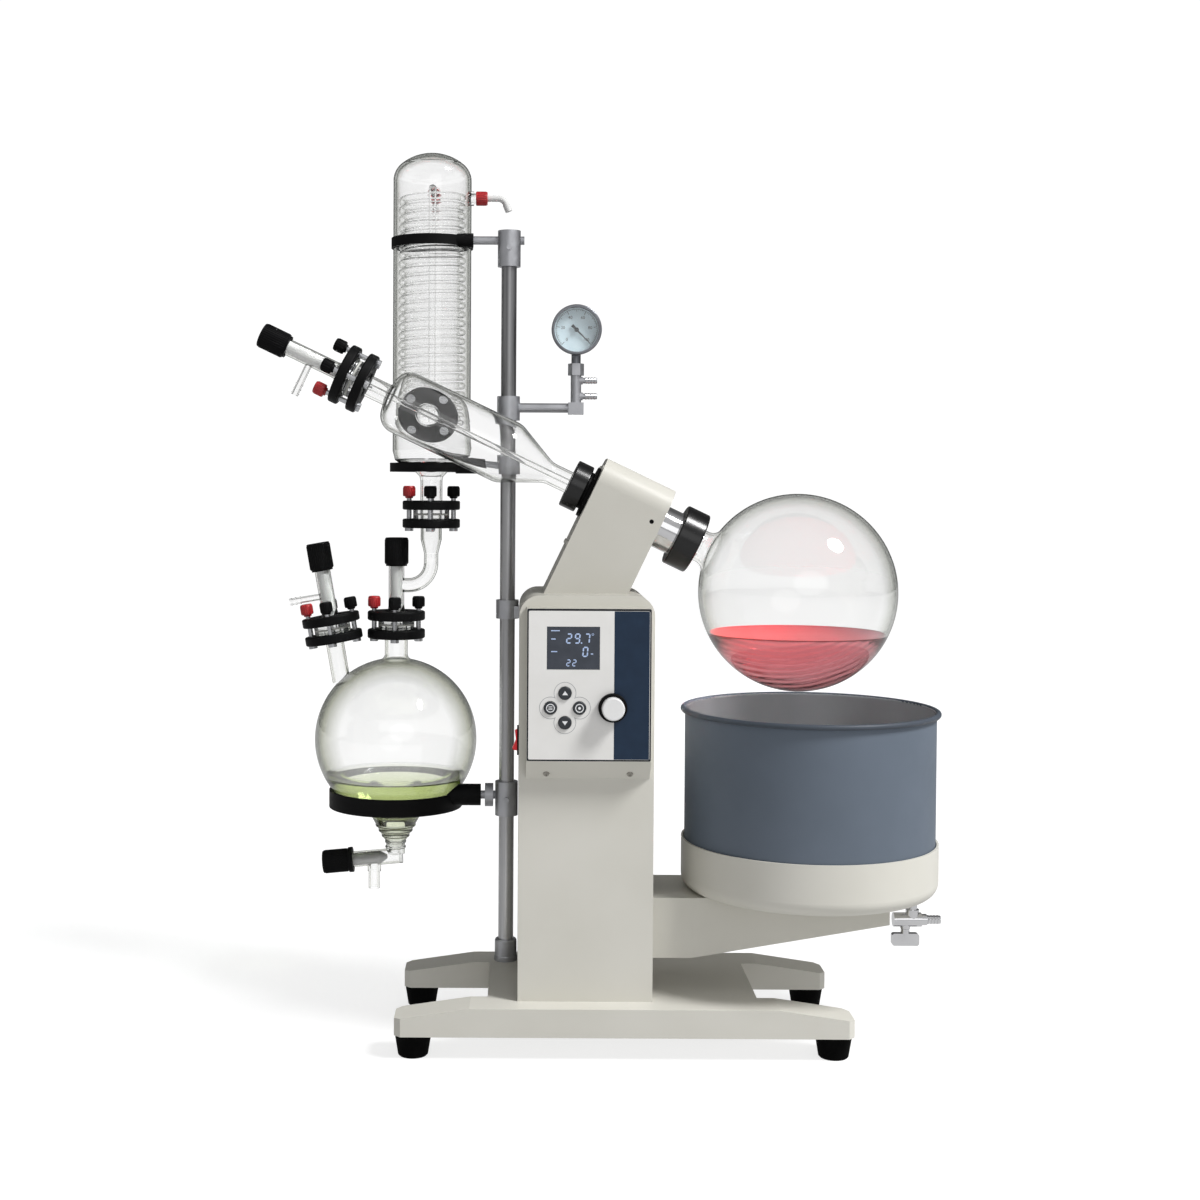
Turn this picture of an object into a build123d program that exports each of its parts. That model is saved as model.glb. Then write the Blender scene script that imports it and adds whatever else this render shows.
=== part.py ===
# Rotary evaporator, bench model of about five litres, with a lifting heating bath.
# Millimetres, +Z up, +X to the flask side, +Y to the back.
# The drive axis lies in the plane Y = 0 of the working frame; every part is moved
# at the end so that the origin is the centre of the whole box, on the bench.
from build123d import *
import math
import os

os.makedirs("parts", exist_ok=True)

# ---------------------------------------------------------------- driving dimensions
ORIGIN_X, ORIGIN_Y = 103.055, 43.5      # working frame to the box's centre on the bench

TILT = 25.4                              # slope of the drive axis, degrees below horizontal
FLASK_C = (330.4, 0.0, 501.2)            # start of the drive axis, inside the evaporating flask
FLASK_R, FLASK_T, FLASK_Z = 112.5, 2.5, 3.0   # flask radius, wall, and its centre along the drive axis
NECK_R = 18.5

BASE_X, BASE_HALF, BASE_FLAT = 127.0, 250.0, 168.0
BEAM_Y, BEAM_W, BEAM_Z0, BEAM_Z1, BEAM_END = 90.0, 46.0, 26.0, 57.0, 45.0
PLINTH_HALF = 149.0
FOOT_X, FOOT_R0, FOOT_R1 = 230.0, 16.5, 20.5

COL_X, COL_HALF, COL_Y, COL_TOP = 85.0, 74.0, 84.0, 503.0
SHOULDER, SHEET = 22.0, 3.0
COVER_Y, COVER_Z0 = -104.0, 303.0        # front face of the control cover, and its lower edge on the column
COVER_X0, COVER_X1, CHIN_Z, COVER_Z1 = 18.8, 154.2, 325.0, 490.8   # sides, top of the sloping chin, top
PANEL = (21.0, 152.0, 327.0, 488.0)      # x0, x1, z0, z1
DISPLAY = (40.6, 97.9, 424.5, 471.0)
BUTTON_R, BUTTON_TRAVEL = 7.0, 1.2
BUTTONS = {"button_up": (60.5, 399.0), "button_left": (44.8, 383.0),
           "button_right": (76.2, 383.0), "button_down": (60.5, 367.0)}
DIAL_X, DIAL_Z = 112.0, 383.7            # speed knob

HEAD_Z0, HEAD_Z1, HEAD_HALF, HEAD_TOP = 180.0, 265.0, 46.0, 43.0   # along and across the drive axis
GEAR_M, GEAR_N, PINION_N = 1.25, 56, 16

POLE_X, POLE_Y, POLE_R = -3.0, 80.0, 9.0
ROD_Y, ROD_R = 104.0, 5.0

COND_X, COND_Y, COND_R, COND_T = -96.6, 135.0, 47.3, 2.5
COND_TOP = 1024.0
COIL_R, COIL_TUBE, COIL_PITCH, COIL_Z0, COIL_TURNS = 36.6, 4.5, 10.8, 700.0, 25

RECV_X, RECV_Z, RECV_R = -138.7, 312.9, 98.5
VENT_FACE, VENT_TILT = (-216.7, 447.0), 10.0
INLET_FACE_Z = 452.5
OUTLET_FACE_Z = 587.0

PLATE_R, PLATE_HOLE, STUD_PCR, STUD_R = 35.0, 14.6, 27.0, 3.0
GAUGE_X, GAUGE_Z = 76.7, 806.0

BATH_X, POT_R, POT_Z0, POT_TOP = 343.0, 141.5, 190.0, 371.5
SKIRT_R, SKIRT_Z0, SKIRT_Z1 = 145.0, 165.0, 222.0
LIFT = 130.0                             # bath travel
SCREW_X, SCREW_R, GUIDE_Y, GUIDE_R = 125.0, 7.0, 36.0, 8.0

MIN3 = (Align.CENTER, Align.CENTER, Align.MIN)
made = {}


# ---------------------------------------------------------------- helpers
def solids_of(*shapes):
    got = []
    for s in shapes:
        if isinstance(s, (list, tuple)):
            got += solids_of(*s)
        else:
            got += list(s.solids())
    return got


def put(name, *shapes):
    found = [s.moved(Location((-ORIGIN_X, -ORIGIN_Y, 0))) for s in solids_of(*shapes)]
    made[name] = found
    export_step(found[0] if len(found) == 1 else Compound(children=found), f"parts/{name}.step")


def box(x0, x1, y0, y1, z0, z1):
    return Pos((x0 + x1) / 2, (y0 + y1) / 2, (z0 + z1) / 2) * Box(x1 - x0, y1 - y0, z1 - z0)


def cyl(r, z0, z1, at=(0, 0)):
    return Pos(at[0], at[1], z0) * Cylinder(r, z1 - z0, align=MIN3)


def ring(r0, r1, z0, z1):
    return cyl(r1, z0, z1) - cyl(r0, z0 - 1, z1 + 1)


def rod(p, q, r):
    p, q = Vector(*p), Vector(*q)
    return Plane(origin=p, z_dir=(q - p).normalized()) * Cylinder(r, (q - p).length, align=MIN3)


def turned(*pts):
    """Solid of revolution about Z from (r, z) points."""
    return revolve(make_face(Polyline(*[(r, 0, z) for r, z in pts], close=True)), Axis.Z)


def turned_soft(pts, radii):
    """Solid of revolution from (r, z) points, with each profile corner i in radii rounded."""
    face = make_face(Polyline(*[(r, 0, z) for r, z in pts], close=True))
    for i, rad in radii.items():
        want = Vector(pts[i][0], 0, pts[i][1])
        v = min(face.vertices(), key=lambda u: (u.center() - want).length)
        face = fillet(v, rad)
    return revolve(face, Axis.Z)


def bulb(R, rn, rf, top):
    """Ball of radius R with a neck of radius rn up to z = top, blended with radius rf."""
    zc = math.sqrt((R + rf) ** 2 - (rn + rf) ** 2)
    tr, tz = (rn + rf) * R / (R + rf), zc * R / (R + rf)
    am = (-math.pi / 2 + math.atan2(tz, tr)) / 2
    b1 = math.atan2(-zc, -(rn + rf))
    bm = (b1 - math.pi) / 2
    edges = [
        ThreePointArc((0, 0, -R), (R * math.cos(am), 0, R * math.sin(am)), (tr, 0, tz)),
        ThreePointArc((tr, 0, tz), (rn + rf + rf * math.cos(bm), 0, zc + rf * math.sin(bm)), (rn, 0, zc)),
        Line((rn, 0, zc), (rn, 0, top)), Line((rn, 0, top), (0, 0, top)), Line((0, 0, top), (0, 0, -R)),
    ]
    return revolve(make_face(edges), Axis.Z)


def gear(m, n, width, backlash=0.28, turn=0.0):
    """Spur gear about Z, standing on z = 0, with a tooth centred on angle turn (degrees)."""
    r = m * n / 2
    rb, ra, rf = r * math.cos(math.radians(20)), r + m, r - 1.25 * m
    inv = lambda a: math.tan(a) - a
    tp = math.pi / (2 * n) - backlash / (2 * r)

    def half(q):
        q = max(q, rb)
        return tp + inv(math.radians(20)) - inv(math.acos(rb / q))

    levels = [rf, max(rb, rf + 0.1), (rb + r) / 2 if rb > rf else r, r, (r + ra) / 2, ra]
    levels = sorted(set(round(x, 4) for x in levels))
    pts = []
    for k in range(n):
        a = 2 * math.pi * k / n + math.radians(turn)
        pts += [(q * math.cos(a - half(q)), q * math.sin(a - half(q)), 0) for q in levels]
        pts += [(q * math.cos(a + half(q)), q * math.sin(a + half(q)), 0) for q in reversed(levels)]
    return extrude(make_face(Polyline(*pts, close=True)), amount=width, dir=(0, 0, 1))


# Frame along the drive axis: z runs up to the left from the flask's centre, x points up across it.
C, S = math.cos(math.radians(TILT)), math.sin(math.radians(TILT))
AX = Plane(origin=FLASK_C, x_dir=(S, 0, C), z_dir=(-C, 0, S))


def on_axis(z, x=0.0, y=0.0):
    return (FLASK_C[0] - C * z + S * x, y, FLASK_C[2] + S * z + C * x)


COND = Pos(COND_X, COND_Y, 0)
RECV = Pos(RECV_X, COND_Y, RECV_Z)

# ---------------------------------------------------------------- base
def beam(y):
    h, f = BASE_HALF, BASE_FLAT
    prof = Polyline((-h, 0, BEAM_Z0), (h, 0, BEAM_Z0), (h, 0, BEAM_END), (f, 0, BEAM_Z1),
                    (-f, 0, BEAM_Z1), (-h, 0, BEAM_END), close=True)
    b = extrude(make_face(prof), amount=BEAM_W / 2, dir=(0, 1, 0), both=True)
    b = chamfer(b.edges().filter_by(Axis.Z).group_by(Axis.X)[0] + b.edges().filter_by(Axis.Z).group_by(Axis.X)[-1], 7)
    b = Pos(BASE_X, y, 0) * b
    # hollow underside, as on a casting
    return b - box(BASE_X - 195, BASE_X + 195, y - 16, y + 16, BEAM_Z0 - 1, BEAM_Z1 - 7)


plinth = box(BASE_X - PLINTH_HALF, BASE_X + PLINTH_HALF, -BEAM_Y + BEAM_W / 2, BEAM_Y - BEAM_W / 2, BEAM_Z0, BEAM_Z1)
plinth -= box(BASE_X - PLINTH_HALF + 6, BASE_X + PLINTH_HALF - 6, -BEAM_Y + BEAM_W / 2 + 6, BEAM_Y - BEAM_W / 2 - 6,
              BEAM_Z0 - 1, BEAM_Z1 - 6)
put("base_frame", beam(-BEAM_Y), beam(BEAM_Y), plinth)

foot = turned((0, 0), (FOOT_R0 - 1.5, 0), (FOOT_R0, 1.5), (FOOT_R1, BEAM_Z0), (0, BEAM_Z0))
put("rubber_feet", [Pos(BASE_X + sx * FOOT_X, sy * BEAM_Y, 0) * foot for sx in (-1, 1) for sy in (-1, 1)])

# ---------------------------------------------------------------- column and control cover
cx0, cx1 = COL_X - COL_HALF, COL_X + COL_HALF


def shouldered(x0, x1, z0, z1, r, y):
    """Upright rectangle at depth y with rounded top corners."""
    k = r * (1 - math.sqrt(0.5))
    return make_face([
        Line((x0, y, z0), (x1, y, z0)), Line((x1, y, z0), (x1, y, z1 - r)),
        ThreePointArc((x1, y, z1 - r), (x1 - k, y, z1 - k), (x1 - r, y, z1)),
        Line((x1 - r, y, z1), (x0 + r, y, z1)),
        ThreePointArc((x0 + r, y, z1), (x0 + k, y, z1 - k), (x0, y, z1 - r)),
        Line((x0, y, z1 - r), (x0, y, z0))])


casing = extrude(shouldered(cx0, cx1, BEAM_Z1, COL_TOP, SHOULDER, 0), amount=COL_Y, dir=(0, 1, 0), both=True)
inner = extrude(shouldered(cx0 + SHEET, cx1 - SHEET, BEAM_Z1 - 5, COL_TOP - SHEET, SHOULDER - SHEET, -COL_Y + SHEET),
                amount=2 * COL_Y, dir=(0, 1, 0))
casing = casing - inner
casing -= box(24, 146, -COL_Y - 2, -COL_Y + SHEET + 2, 318, 486)           # window behind the control cover
casing -= box(cx1 - SHEET - 2, cx1 + 2, -21.5, 21.5, 101, 292)             # slot for the lift arm
casing -= box(cx0 - 2, cx0 + SHEET + 2, -71.5, -58.5, 328.5, 355.5)        # power switch
casing -= box(62, 120, -28, 28, COL_TOP - SHEET - 2, COL_TOP + 2)          # wiring way up to the head
put("column_casing", casing)

rear = box(cx0 + 4, cx1 - 4, COL_Y, COL_Y + 2, 68, 478)
for i in range(6):
    rear -= box(COL_X - 40, COL_X + 40, COL_Y - 1, COL_Y + 3, 400 + 11 * i, 405 + 11 * i)   # cooling slots
rear -= box(COL_X - 15, COL_X + 15, COL_Y - 1, COL_Y + 3, 105, 127)
put("column_rear_cover", rear)

inlet = box(COL_X - 25, COL_X + 25, COL_Y + 2, COL_Y + 5, 101, 131) + box(COL_X - 14.8, COL_X + 14.8, COL_Y - 22, COL_Y + 3, 105.2, 126.8)
inlet -= box(COL_X - 12, COL_X + 12, COL_Y - 12, COL_Y + 6, 108, 124)
for px, pz in ((-7, 114), (0, 118.5), (7, 114)):
    inlet += box(COL_X + px - 1, COL_X + px + 1, COL_Y - 13, COL_Y + 1, pz - 2.5, pz + 2.5)
put("power_inlet", inlet)

def cover_block(x0, x1, pts):
    """Block between x0 and x1 from an outline of (y, z) points."""
    return extrude(make_face(Polyline(*[(x0, y, z) for y, z in pts], close=True)), amount=x1 - x0, dir=(1, 0, 0))


SLOPE = (CHIN_Z - COVER_Z0) / (-COL_Y - COVER_Y)
chin_n = Vector(0, -SLOPE, -1).normalized()                                # outward normal of the chin


def chin_in(y, t=3.0):
    """Height of the chin's inner face at depth y."""
    return CHIN_Z - chin_n.Z * t - SLOPE * (y - COVER_Y + chin_n.Y * t)


cover = cover_block(COVER_X0, COVER_X1, [(-COL_Y, COVER_Z0), (COVER_Y, CHIN_Z), (COVER_Y, COVER_Z1), (-COL_Y, COVER_Z1)])
cover = fillet([e for e in cover.edges() if abs(e.center().Y - COVER_Y) < 0.01 and e.bounding_box().size.Y < 0.01], 1.2)
yb, yf = -COL_Y + 1.0, COVER_Y + 3.0
cover -= cover_block(COVER_X0 + 3, COVER_X1 - 3, [(yb, chin_in(yb)), (yf, chin_in(yf)), (yf, COVER_Z1 - 3), (yb, COVER_Z1 - 3)])


holes = [box(DISPLAY[0], DISPLAY[1], -108, -98, DISPLAY[2], DISPLAY[3])]
holes += [rod((x, -108, z), (x, -98, z), BUTTON_R + 0.4) for x, z in BUTTONS.values()]
holes += [rod((DIAL_X, -108, DIAL_Z), (DIAL_X, -98, DIAL_Z), 4.0)]
panel = box(PANEL[0], PANEL[1], COVER_Y - 1.5, COVER_Y, PANEL[2], PANEL[3])
panel = fillet(panel.edges().filter_by(Axis.Y), 1.5)
for h in holes:
    cover -= h
    panel -= h
chin_p = Vector(0, COVER_Y + 0.72 * (-COL_Y - COVER_Y), CHIN_Z - 0.72 * (CHIN_Z - COVER_Z0))
screw_at = [Vector(x, chin_p.Y, chin_p.Z) for x in (41.0, 132.2)]
for q in screw_at:
    cover -= rod(tuple(q + chin_n * 1.0), tuple(q - chin_n * 4.0), 2.1)
put("control_cover", cover)
put("control_panel", panel)
put("display_window", box(DISPLAY[0] + 0.2, DISPLAY[1] - 0.2, COVER_Y - 1.4, COVER_Y + 0.6, DISPLAY[2] + 0.2, DISPLAY[3] - 0.2))

board = box(30, 145, -92, -90, 335, 480) + box(DISPLAY[0] + 1, DISPLAY[1] - 1, -102.6, -92, DISPLAY[2] + 1, DISPLAY[3] - 1)
board += rod((DIAL_X, -98.1, DIAL_Z), (DIAL_X, -92, DIAL_Z), 8)
board += box(36, 66, -90, -78, 345, 365) + box(90, 128, -90, -74, 345, 380)   # terminal block and transformer
put("control_board", board)

for name, (x, z) in BUTTONS.items():
    b = rod((x, -107.6, z), (x, -100.2, z), BUTTON_R)
    b = fillet(b.edges().sort_by(Axis.Y)[0], 1.0)
    put(name, b)

skirt = rod((DIAL_X, -112, DIAL_Z), (DIAL_X, -106.2, DIAL_Z), 15.6) - rod((DIAL_X, -113, DIAL_Z), (DIAL_X, -105, DIAL_Z), 3.0)
skirt = fillet(skirt.edges().filter_by(GeomType.CIRCLE).sort_by(Axis.Y)[0:2].sort_by(SortBy.LENGTH)[-1], 1.0)
cap = rod((DIAL_X, -123, DIAL_Z), (DIAL_X, -112, DIAL_Z), 12.3)
cap = fillet(cap.edges().sort_by(Axis.Y)[0], 1.6)
cap += rod((DIAL_X, -112, DIAL_Z), (DIAL_X, -98.7, DIAL_Z), 3.0)
put("speed_knob", skirt, cap)

# rocker switch in the left side of the column
SW_Y, SW_Z, SW_X = -65.0, 342.0, cx0 + 0.6
frame_sw = box(cx0 - 2, cx0, SW_Y - 8, SW_Y + 8, SW_Z - 15.5, SW_Z + 15.5) + box(cx0, cx0 + 16, SW_Y - 6.4, SW_Y + 6.4, SW_Z - 13.4, SW_Z + 13.4)
frame_sw -= box(cx0 - 3, cx0 + 13, SW_Y - 5.4, SW_Y + 5.4, SW_Z - 12.4, SW_Z + 12.4)
put("switch_frame", frame_sw)
rk = Polyline((-3.8, 0, 0), (-6.4, 0, 9.6), (-4.6, 0, 11.2), (0, 0, 11.2), (5.5, 0, 7), (5.5, 0, -7), (0, 0, -11.2), (-4.6, 0, -11.2), (-6.4, 0, -9.6), close=True)
rk = extrude(make_face(rk), amount=5.0, dir=(0, 1, 0), both=True)
put("rocker_switch", Pos(SW_X, SW_Y, SW_Z) * Rot(0, 8, 0) * rk)

# ---------------------------------------------------------------- head, drive and seals
def head_section(half, top, r, low=-170.0):
    k = r * (1 - math.sqrt(0.5))
    return make_face([
        Line((low, -half, 0), (low, half, 0)), Line((low, half, 0), (top - r, half, 0)),
        ThreePointArc((top - r, half, 0), (top - k, half - k, 0), (top, half - r, 0)),
        Line((top, half - r, 0), (top, -half + r, 0)),
        ThreePointArc((top, -half + r, 0), (top - k, -half + k, 0), (top - r, -half, 0)),
        Line((top - r, -half, 0), (low, -half, 0))])


above = box(-200, 400, -200, 200, COL_TOP, 900)
sect = head_section(HEAD_HALF, HEAD_TOP, 28.0)
sect_in = head_section(HEAD_HALF - 4, HEAD_TOP - 4, 24.0)
head = Pos(0, 0, HEAD_Z0) * extrude(sect, amount=HEAD_Z1 - 3 - HEAD_Z0, dir=(0, 0, 1))
head -= Pos(0, 0, HEAD_Z0 + 6) * extrude(sect_in, amount=100, dir=(0, 0, 1))
head += ring(31.0, 35.5, HEAD_Z0 + 5, HEAD_Z0 + 17)
head -= cyl(20.6, HEAD_Z0 - 1, HEAD_Z0 + 7)
head = (AX * head) & above
head -= AX * (Pos(0, -HEAD_HALF - 1, 191.5) * (Rot(-90, 0, 0) * Cylinder(2.5, 16.0, align=MIN3)))
put("head_housing", head)

end = Pos(0, 0, HEAD_Z1 - 3) * extrude(sect, amount=3.0, dir=(0, 0, 1))
end += ring(31.0, 35.5, HEAD_Z1 - 15, HEAD_Z1 - 2.5)
end -= cyl(17.05, HEAD_Z1 - 16, HEAD_Z1 + 1)
end = (AX * end) & above
put("head_end_cover", end)

bear = [ring(20.05, 31.0, HEAD_Z0 + 6.2, HEAD_Z0 + 16.8), ring(20.05, 31.0, HEAD_Z1 - 14.6, HEAD_Z1 - 3.2)]
put("shaft_bearings", [AX * b for b in bear])

carrier = ring(17.0, 30.0, HEAD_Z1, HEAD_Z1 + 4) + ring(17.0, 22.0, HEAD_Z1 + 3, HEAD_Z1 + 8) + ring(13.5, 22.0, HEAD_Z1 + 7, HEAD_Z1 + 15)
put("seal_carrier", AX * carrier)

nut = ring(13.0, 27.8, 285.2, 291.8) + ring(22.1, 27.8, 272.8, 285.5)
nut = fillet(nut.edges().filter_by(GeomType.CIRCLE).filter_by(lambda e: abs(e.radius - 27.8) < 0.01), 1.6)
put("duct_nut", AX * nut)

# motor below the hollow shaft, pinion on its shaft
MOT_X = -GEAR_M * (GEAR_N + PINION_N) / 2
motor = cyl(21.5, 198.5, 232.0, (MOT_X, 0)) + Pos(MOT_X, 0, 232) * Box(46, 60, 3.6, align=MIN3)
motor += Pos(MOT_X - 4, 0, 194) * Box(14, 14, 5, align=MIN3)
lift_motor = cyl(26.0, 60.0, 90.0, (SCREW_X, 0)) + box(SCREW_X - 28, SCREW_X + 28, -28, 28, 60, 64)
put("motors", AX * motor, lift_motor)

pinion = Pos(MOT_X, 0, 236.4) * gear(GEAR_M, PINION_N, 9.2, turn=180.0 / PINION_N)
pinion += cyl(4.0, 236.0, 248.0, (MOT_X, 0))
put("drive_pinion", AX * pinion)

wheel = Pos(0, 0, 236.2) * gear(GEAR_M, GEAR_N, 9.6) - cyl(20.0, 230, 250)
put("drive_gear", AX * wheel)

shaft = ring(13.0, 24.8, 153.0, 179.4) + ring(13.0, 20.0, 179.0, 261.5)
shaft = chamfer(shaft.edges().filter_by(GeomType.CIRCLE).filter_by(lambda e: abs(e.radius - 24.8) < 0.01), 1.0)
put("hollow_shaft", AX * shaft)

put("vapour_tube", AX * ring(10.5, 12.5, 126.0, 278.0))

# ---------------------------------------------------------------- evaporating flask and its nut
flask = Pos(0, 0, FLASK_Z) * bulb(FLASK_R, NECK_R, 12.0, 152.0 - FLASK_Z) + cyl(24.0, 146.2, 152.0)
flask -= Pos(0, 0, FLASK_Z) * bulb(FLASK_R - FLASK_T, NECK_R - FLASK_T, 12.0 + FLASK_T, 154.0 - FLASK_Z)
put("evaporating_flask", AX * flask)

fn = ring(19.2, 35.5, 130.2, 142.2) + ring(25.0, 35.5, 142.0, 157.5)
fn = fillet(fn.edges().filter_by(GeomType.CIRCLE).filter_by(lambda e: abs(e.radius - 35.5) < 0.01), 2.0)
split = ring(18.6, 24.9, 142.3, 146.1)
put("flask_nut", AX * fn, AX * split)

# ---------------------------------------------------------------- flange joints of the glass
plates, studs, knobs, reds, gaskets = [], [], [], [], []


def flange(at, knob0=19.5, knob_len=15.0, red=2, first=0.0):
    """Two clamp plates, four studs and their nuts about the face z = 0 of the frame at."""
    for z0 in (5.5, -16.5):
        p = ring(PLATE_HOLE, PLATE_R, z0, z0 + 11)
        p = fillet(p.edges().filter_by(GeomType.CIRCLE).filter_by(lambda e: abs(e.radius - PLATE_R) < 0.01), 2.0)
        for k in range(4):
            a = math.radians(first + 90 * k)
            p -= cyl(STUD_R, -30, 30, (STUD_PCR * math.cos(a), STUD_PCR * math.sin(a)))
        plates.append(at * p)
    for k in range(4):
        a = math.radians(first + 90 * k)
        xy = (STUD_PCR * math.cos(a), STUD_PCR * math.sin(a))
        studs.append(at * (cyl(STUD_R, -17, knob0 + knob_len * 0.6, xy) + cyl(5.2, -20.5, -16.5, xy)))
        n = turned_soft([(0, knob0), (4.6, knob0), (5.0, knob0 + 2), (7.3, knob0 + 2.4), (7.3, knob0 + knob_len), (0, knob0 + knob_len)], {4: 2.0})
        n = Pos(xy[0], xy[1], 0) * n - cyl(STUD_R, knob0 - 5, knob0 + knob_len * 0.6, xy)
        (reds if k == red else knobs).append(at * n)
    gaskets.append(at * ring(13.0, 22.0, -1.0, 1.0))


A_FACE = 563.5
FEED = Plane(origin=on_axis(A_FACE), x_dir=AX.x_dir, z_dir=AX.z_dir)
SIDE_Z = FLASK_C[2] + S * (FLASK_C[0] - COND_X) / C
SIDE = Plane(origin=(COND_X, 57.5, SIDE_Z), x_dir=(1, 0, 0), z_dir=(0, 1, 0))
OUTLET = Plane(origin=(COND_X, COND_Y, OUTLET_FACE_Z), x_dir=(1, 0, 0), z_dir=(0, 0, 1))
INLET = Plane(origin=(RECV_X, COND_Y, INLET_FACE_Z), x_dir=(1, 0, 0), z_dir=(0, 0, 1))
vt = math.radians(VENT_TILT)
VENT = Plane(origin=(VENT_FACE[0], COND_Y, VENT_FACE[1]), x_dir=(math.cos(vt), 0, math.sin(vt)), z_dir=(-math.sin(vt), 0, math.cos(vt)))

flange(FEED, knob0=21.5, red=2)
flange(SIDE, knob0=18.6, knob_len=11.0, red=9, first=45.0)
flange(OUTLET, red=2)
flange(INLET, red=2)
flange(VENT, red=2)

# ---------------------------------------------------------------- vapour duct
duct_out = turned_soft([(0, 280.4), (18, 280.4), (18, 285.0), (12.6, 285.0), (12.6, 318.0), (36.6, 368.0), (36.6, 520.0), (12.4, 520.0),
                        (12.4, 558.2), (22.0, 558.2), (22.0, 562.5), (0, 562.5)], {4: 22.0, 5: 26.0, 6: 20.5, 7: 3.0})
duct_in = turned_soft([(0, 279), (10.4, 279), (10.4, 318.0), (34.4, 368.0), (34.4, 517.8), (10.2, 517.8), (10.2, 564), (0, 564)],
                      {2: 24.0, 3: 24.0, 4: 18.3, 5: 5.0})
duct = AX * duct_out + rod((COND_X, 0, SIDE_Z), (COND_X, 56.5, SIDE_Z), 14.0) + rod((COND_X, 52.2, SIDE_Z), (COND_X, 56.5, SIDE_Z), 22.0)
duct -= AX * duct_in
duct -= rod((COND_X, 0, SIDE_Z), (COND_X, 60, SIDE_Z), 11.8)
put("vapour_duct", duct)

# ---------------------------------------------------------------- needle valves
def valve_glass(k0, hole, nozzle_z=None, nozzle_dir=(-1, 0), nozzle_len=44.0):
    g = turned_soft([(0, 1), (22, 1), (22, 5.3), (12.0, 5.3), (9.5, 24), (9.5, k0 + 11), (0, k0 + 11)], {3: 2.0, 4: 14.0})
    if nozzle_z:
        dx, dy = nozzle_dir
        g += rod((0, 0, nozzle_z), (dx * nozzle_len, dy * nozzle_len, nozzle_z), 3.9)
        for q in (0.72, 0.84, 0.96):
            g += rod((dx * (nozzle_len * q - 1.5), dy * (nozzle_len * q - 1.5), nozzle_z), (dx * nozzle_len * q, dy * nozzle_len * q, nozzle_z), 4.5)
        g -= rod((0, 0, nozzle_z), (dx * (nozzle_len + 2), dy * (nozzle_len + 2), nozzle_z), 2.5)
    g -= cyl(7.8, 14, k0 + 13)
    g -= cyl(hole, -1, 15)
    return g


def valve_stem(k0, length):
    spindle = turned((0, 14.4), (3.6, 14.4), (7.5, 21), (7.5, k0 + 13), (6.0, k0 + 13), (6.0, k0 + 24), (0, k0 + 24))
    knob = turned_soft([(9.8, k0), (12.8, k0), (12.8, k0 + 2), (14.0, k0 + 2.6), (14.0, k0 + length), (0, k0 + length), (0, k0 + 24), (6.0, k0 + 24),
                        (6.0, k0 + 13), (9.8, k0 + 13)], {4: 1.6})
    return [spindle, knob]


K_FEED, K_RECV = 82.5, 71.4
feed_body = valve_glass(K_FEED, 2.4, 52.8, (-1, 0), 46.0) + cyl(3.5, -(A_FACE - 128.0), 4) - cyl(2.4, -(A_FACE - 126.0), 15)
vent_body = valve_glass(K_RECV, 5.0, 40.5, (-1, 0), 46.0)
put("valve_bodies", FEED * feed_body, VENT * vent_body)
put("feed_valve_stem", [FEED * s for s in valve_stem(K_FEED, 33.5)])
put("vent_valve_stem", [VENT * s for s in valve_stem(K_RECV, 34.5)])
put("inlet_valve_stem", [INLET * s for s in valve_stem(K_RECV, 34.5)])

# drop tube from the condenser to the receiver, with the inlet valve's barrel
BEND_R, RUN_Z = 27.0, 500.3
bend = [(COND_X, COND_Y, 540.0), (COND_X, COND_Y, RUN_Z), (RECV_X, COND_Y, RUN_Z)]
line = FilletPolyline(*bend, radius=BEND_R)
def along(r):
    return sweep(Plane(origin=bend[0], z_dir=(0, 0, -1)) * Circle(r), path=line)


neck_out = turned((0, 539.5), (8.7, 539.5), (12.8, 556), (12.8, 581.7), (22, 581.7), (22, 586.0), (0, 586.0))
neck_in = turned((0, 539), (6.7, 539), (10.7, 556), (10.7, 587.5), (0, 587.5))
drop = COND * neck_out + along(8.7) + INLET * valve_glass(K_RECV, 5.0)
drop -= COND * neck_in
drop -= along(6.7)
drop -= INLET * cyl(7.8, 14, K_RECV + 13)
put("drop_tube", drop)

# ---------------------------------------------------------------- condenser
CROWN_R, KNUCKLE_R = 60.0, 25.0


def dome(t, low):
    """Closed jacket outline inset by t: crown, knuckle, straight wall, then the (r, z) points of the funnel."""
    kr, cz = COND_R - KNUCKLE_R, COND_TOP - CROWN_R
    kz = cz + math.sqrt((CROWN_R - KNUCKLE_R) ** 2 - kr ** 2)
    ang = math.atan2(kz - cz, kr)
    rc, rk = CROWN_R - t, KNUCKLE_R - t

    def crown(a):
        return (rc * math.cos(a), 0, cz + rc * math.sin(a))

    def knuckle(a):
        return (kr + rk * math.cos(a), 0, kz + rk * math.sin(a))

    edges = [ThreePointArc((0, 0, cz + rc), crown((ang + math.pi / 2) / 2), crown(ang)),
             ThreePointArc(crown(ang), knuckle(ang / 2), knuckle(0))]
    chain = [(COND_R - t, kz)] + low + [(0, cz + rc)]
    for a, b in zip(chain, chain[1:]):
        edges.append(Line((a[0], 0, a[1]), (b[0], 0, b[1])))
    return revolve(make_face(edges), Axis.Z)


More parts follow.
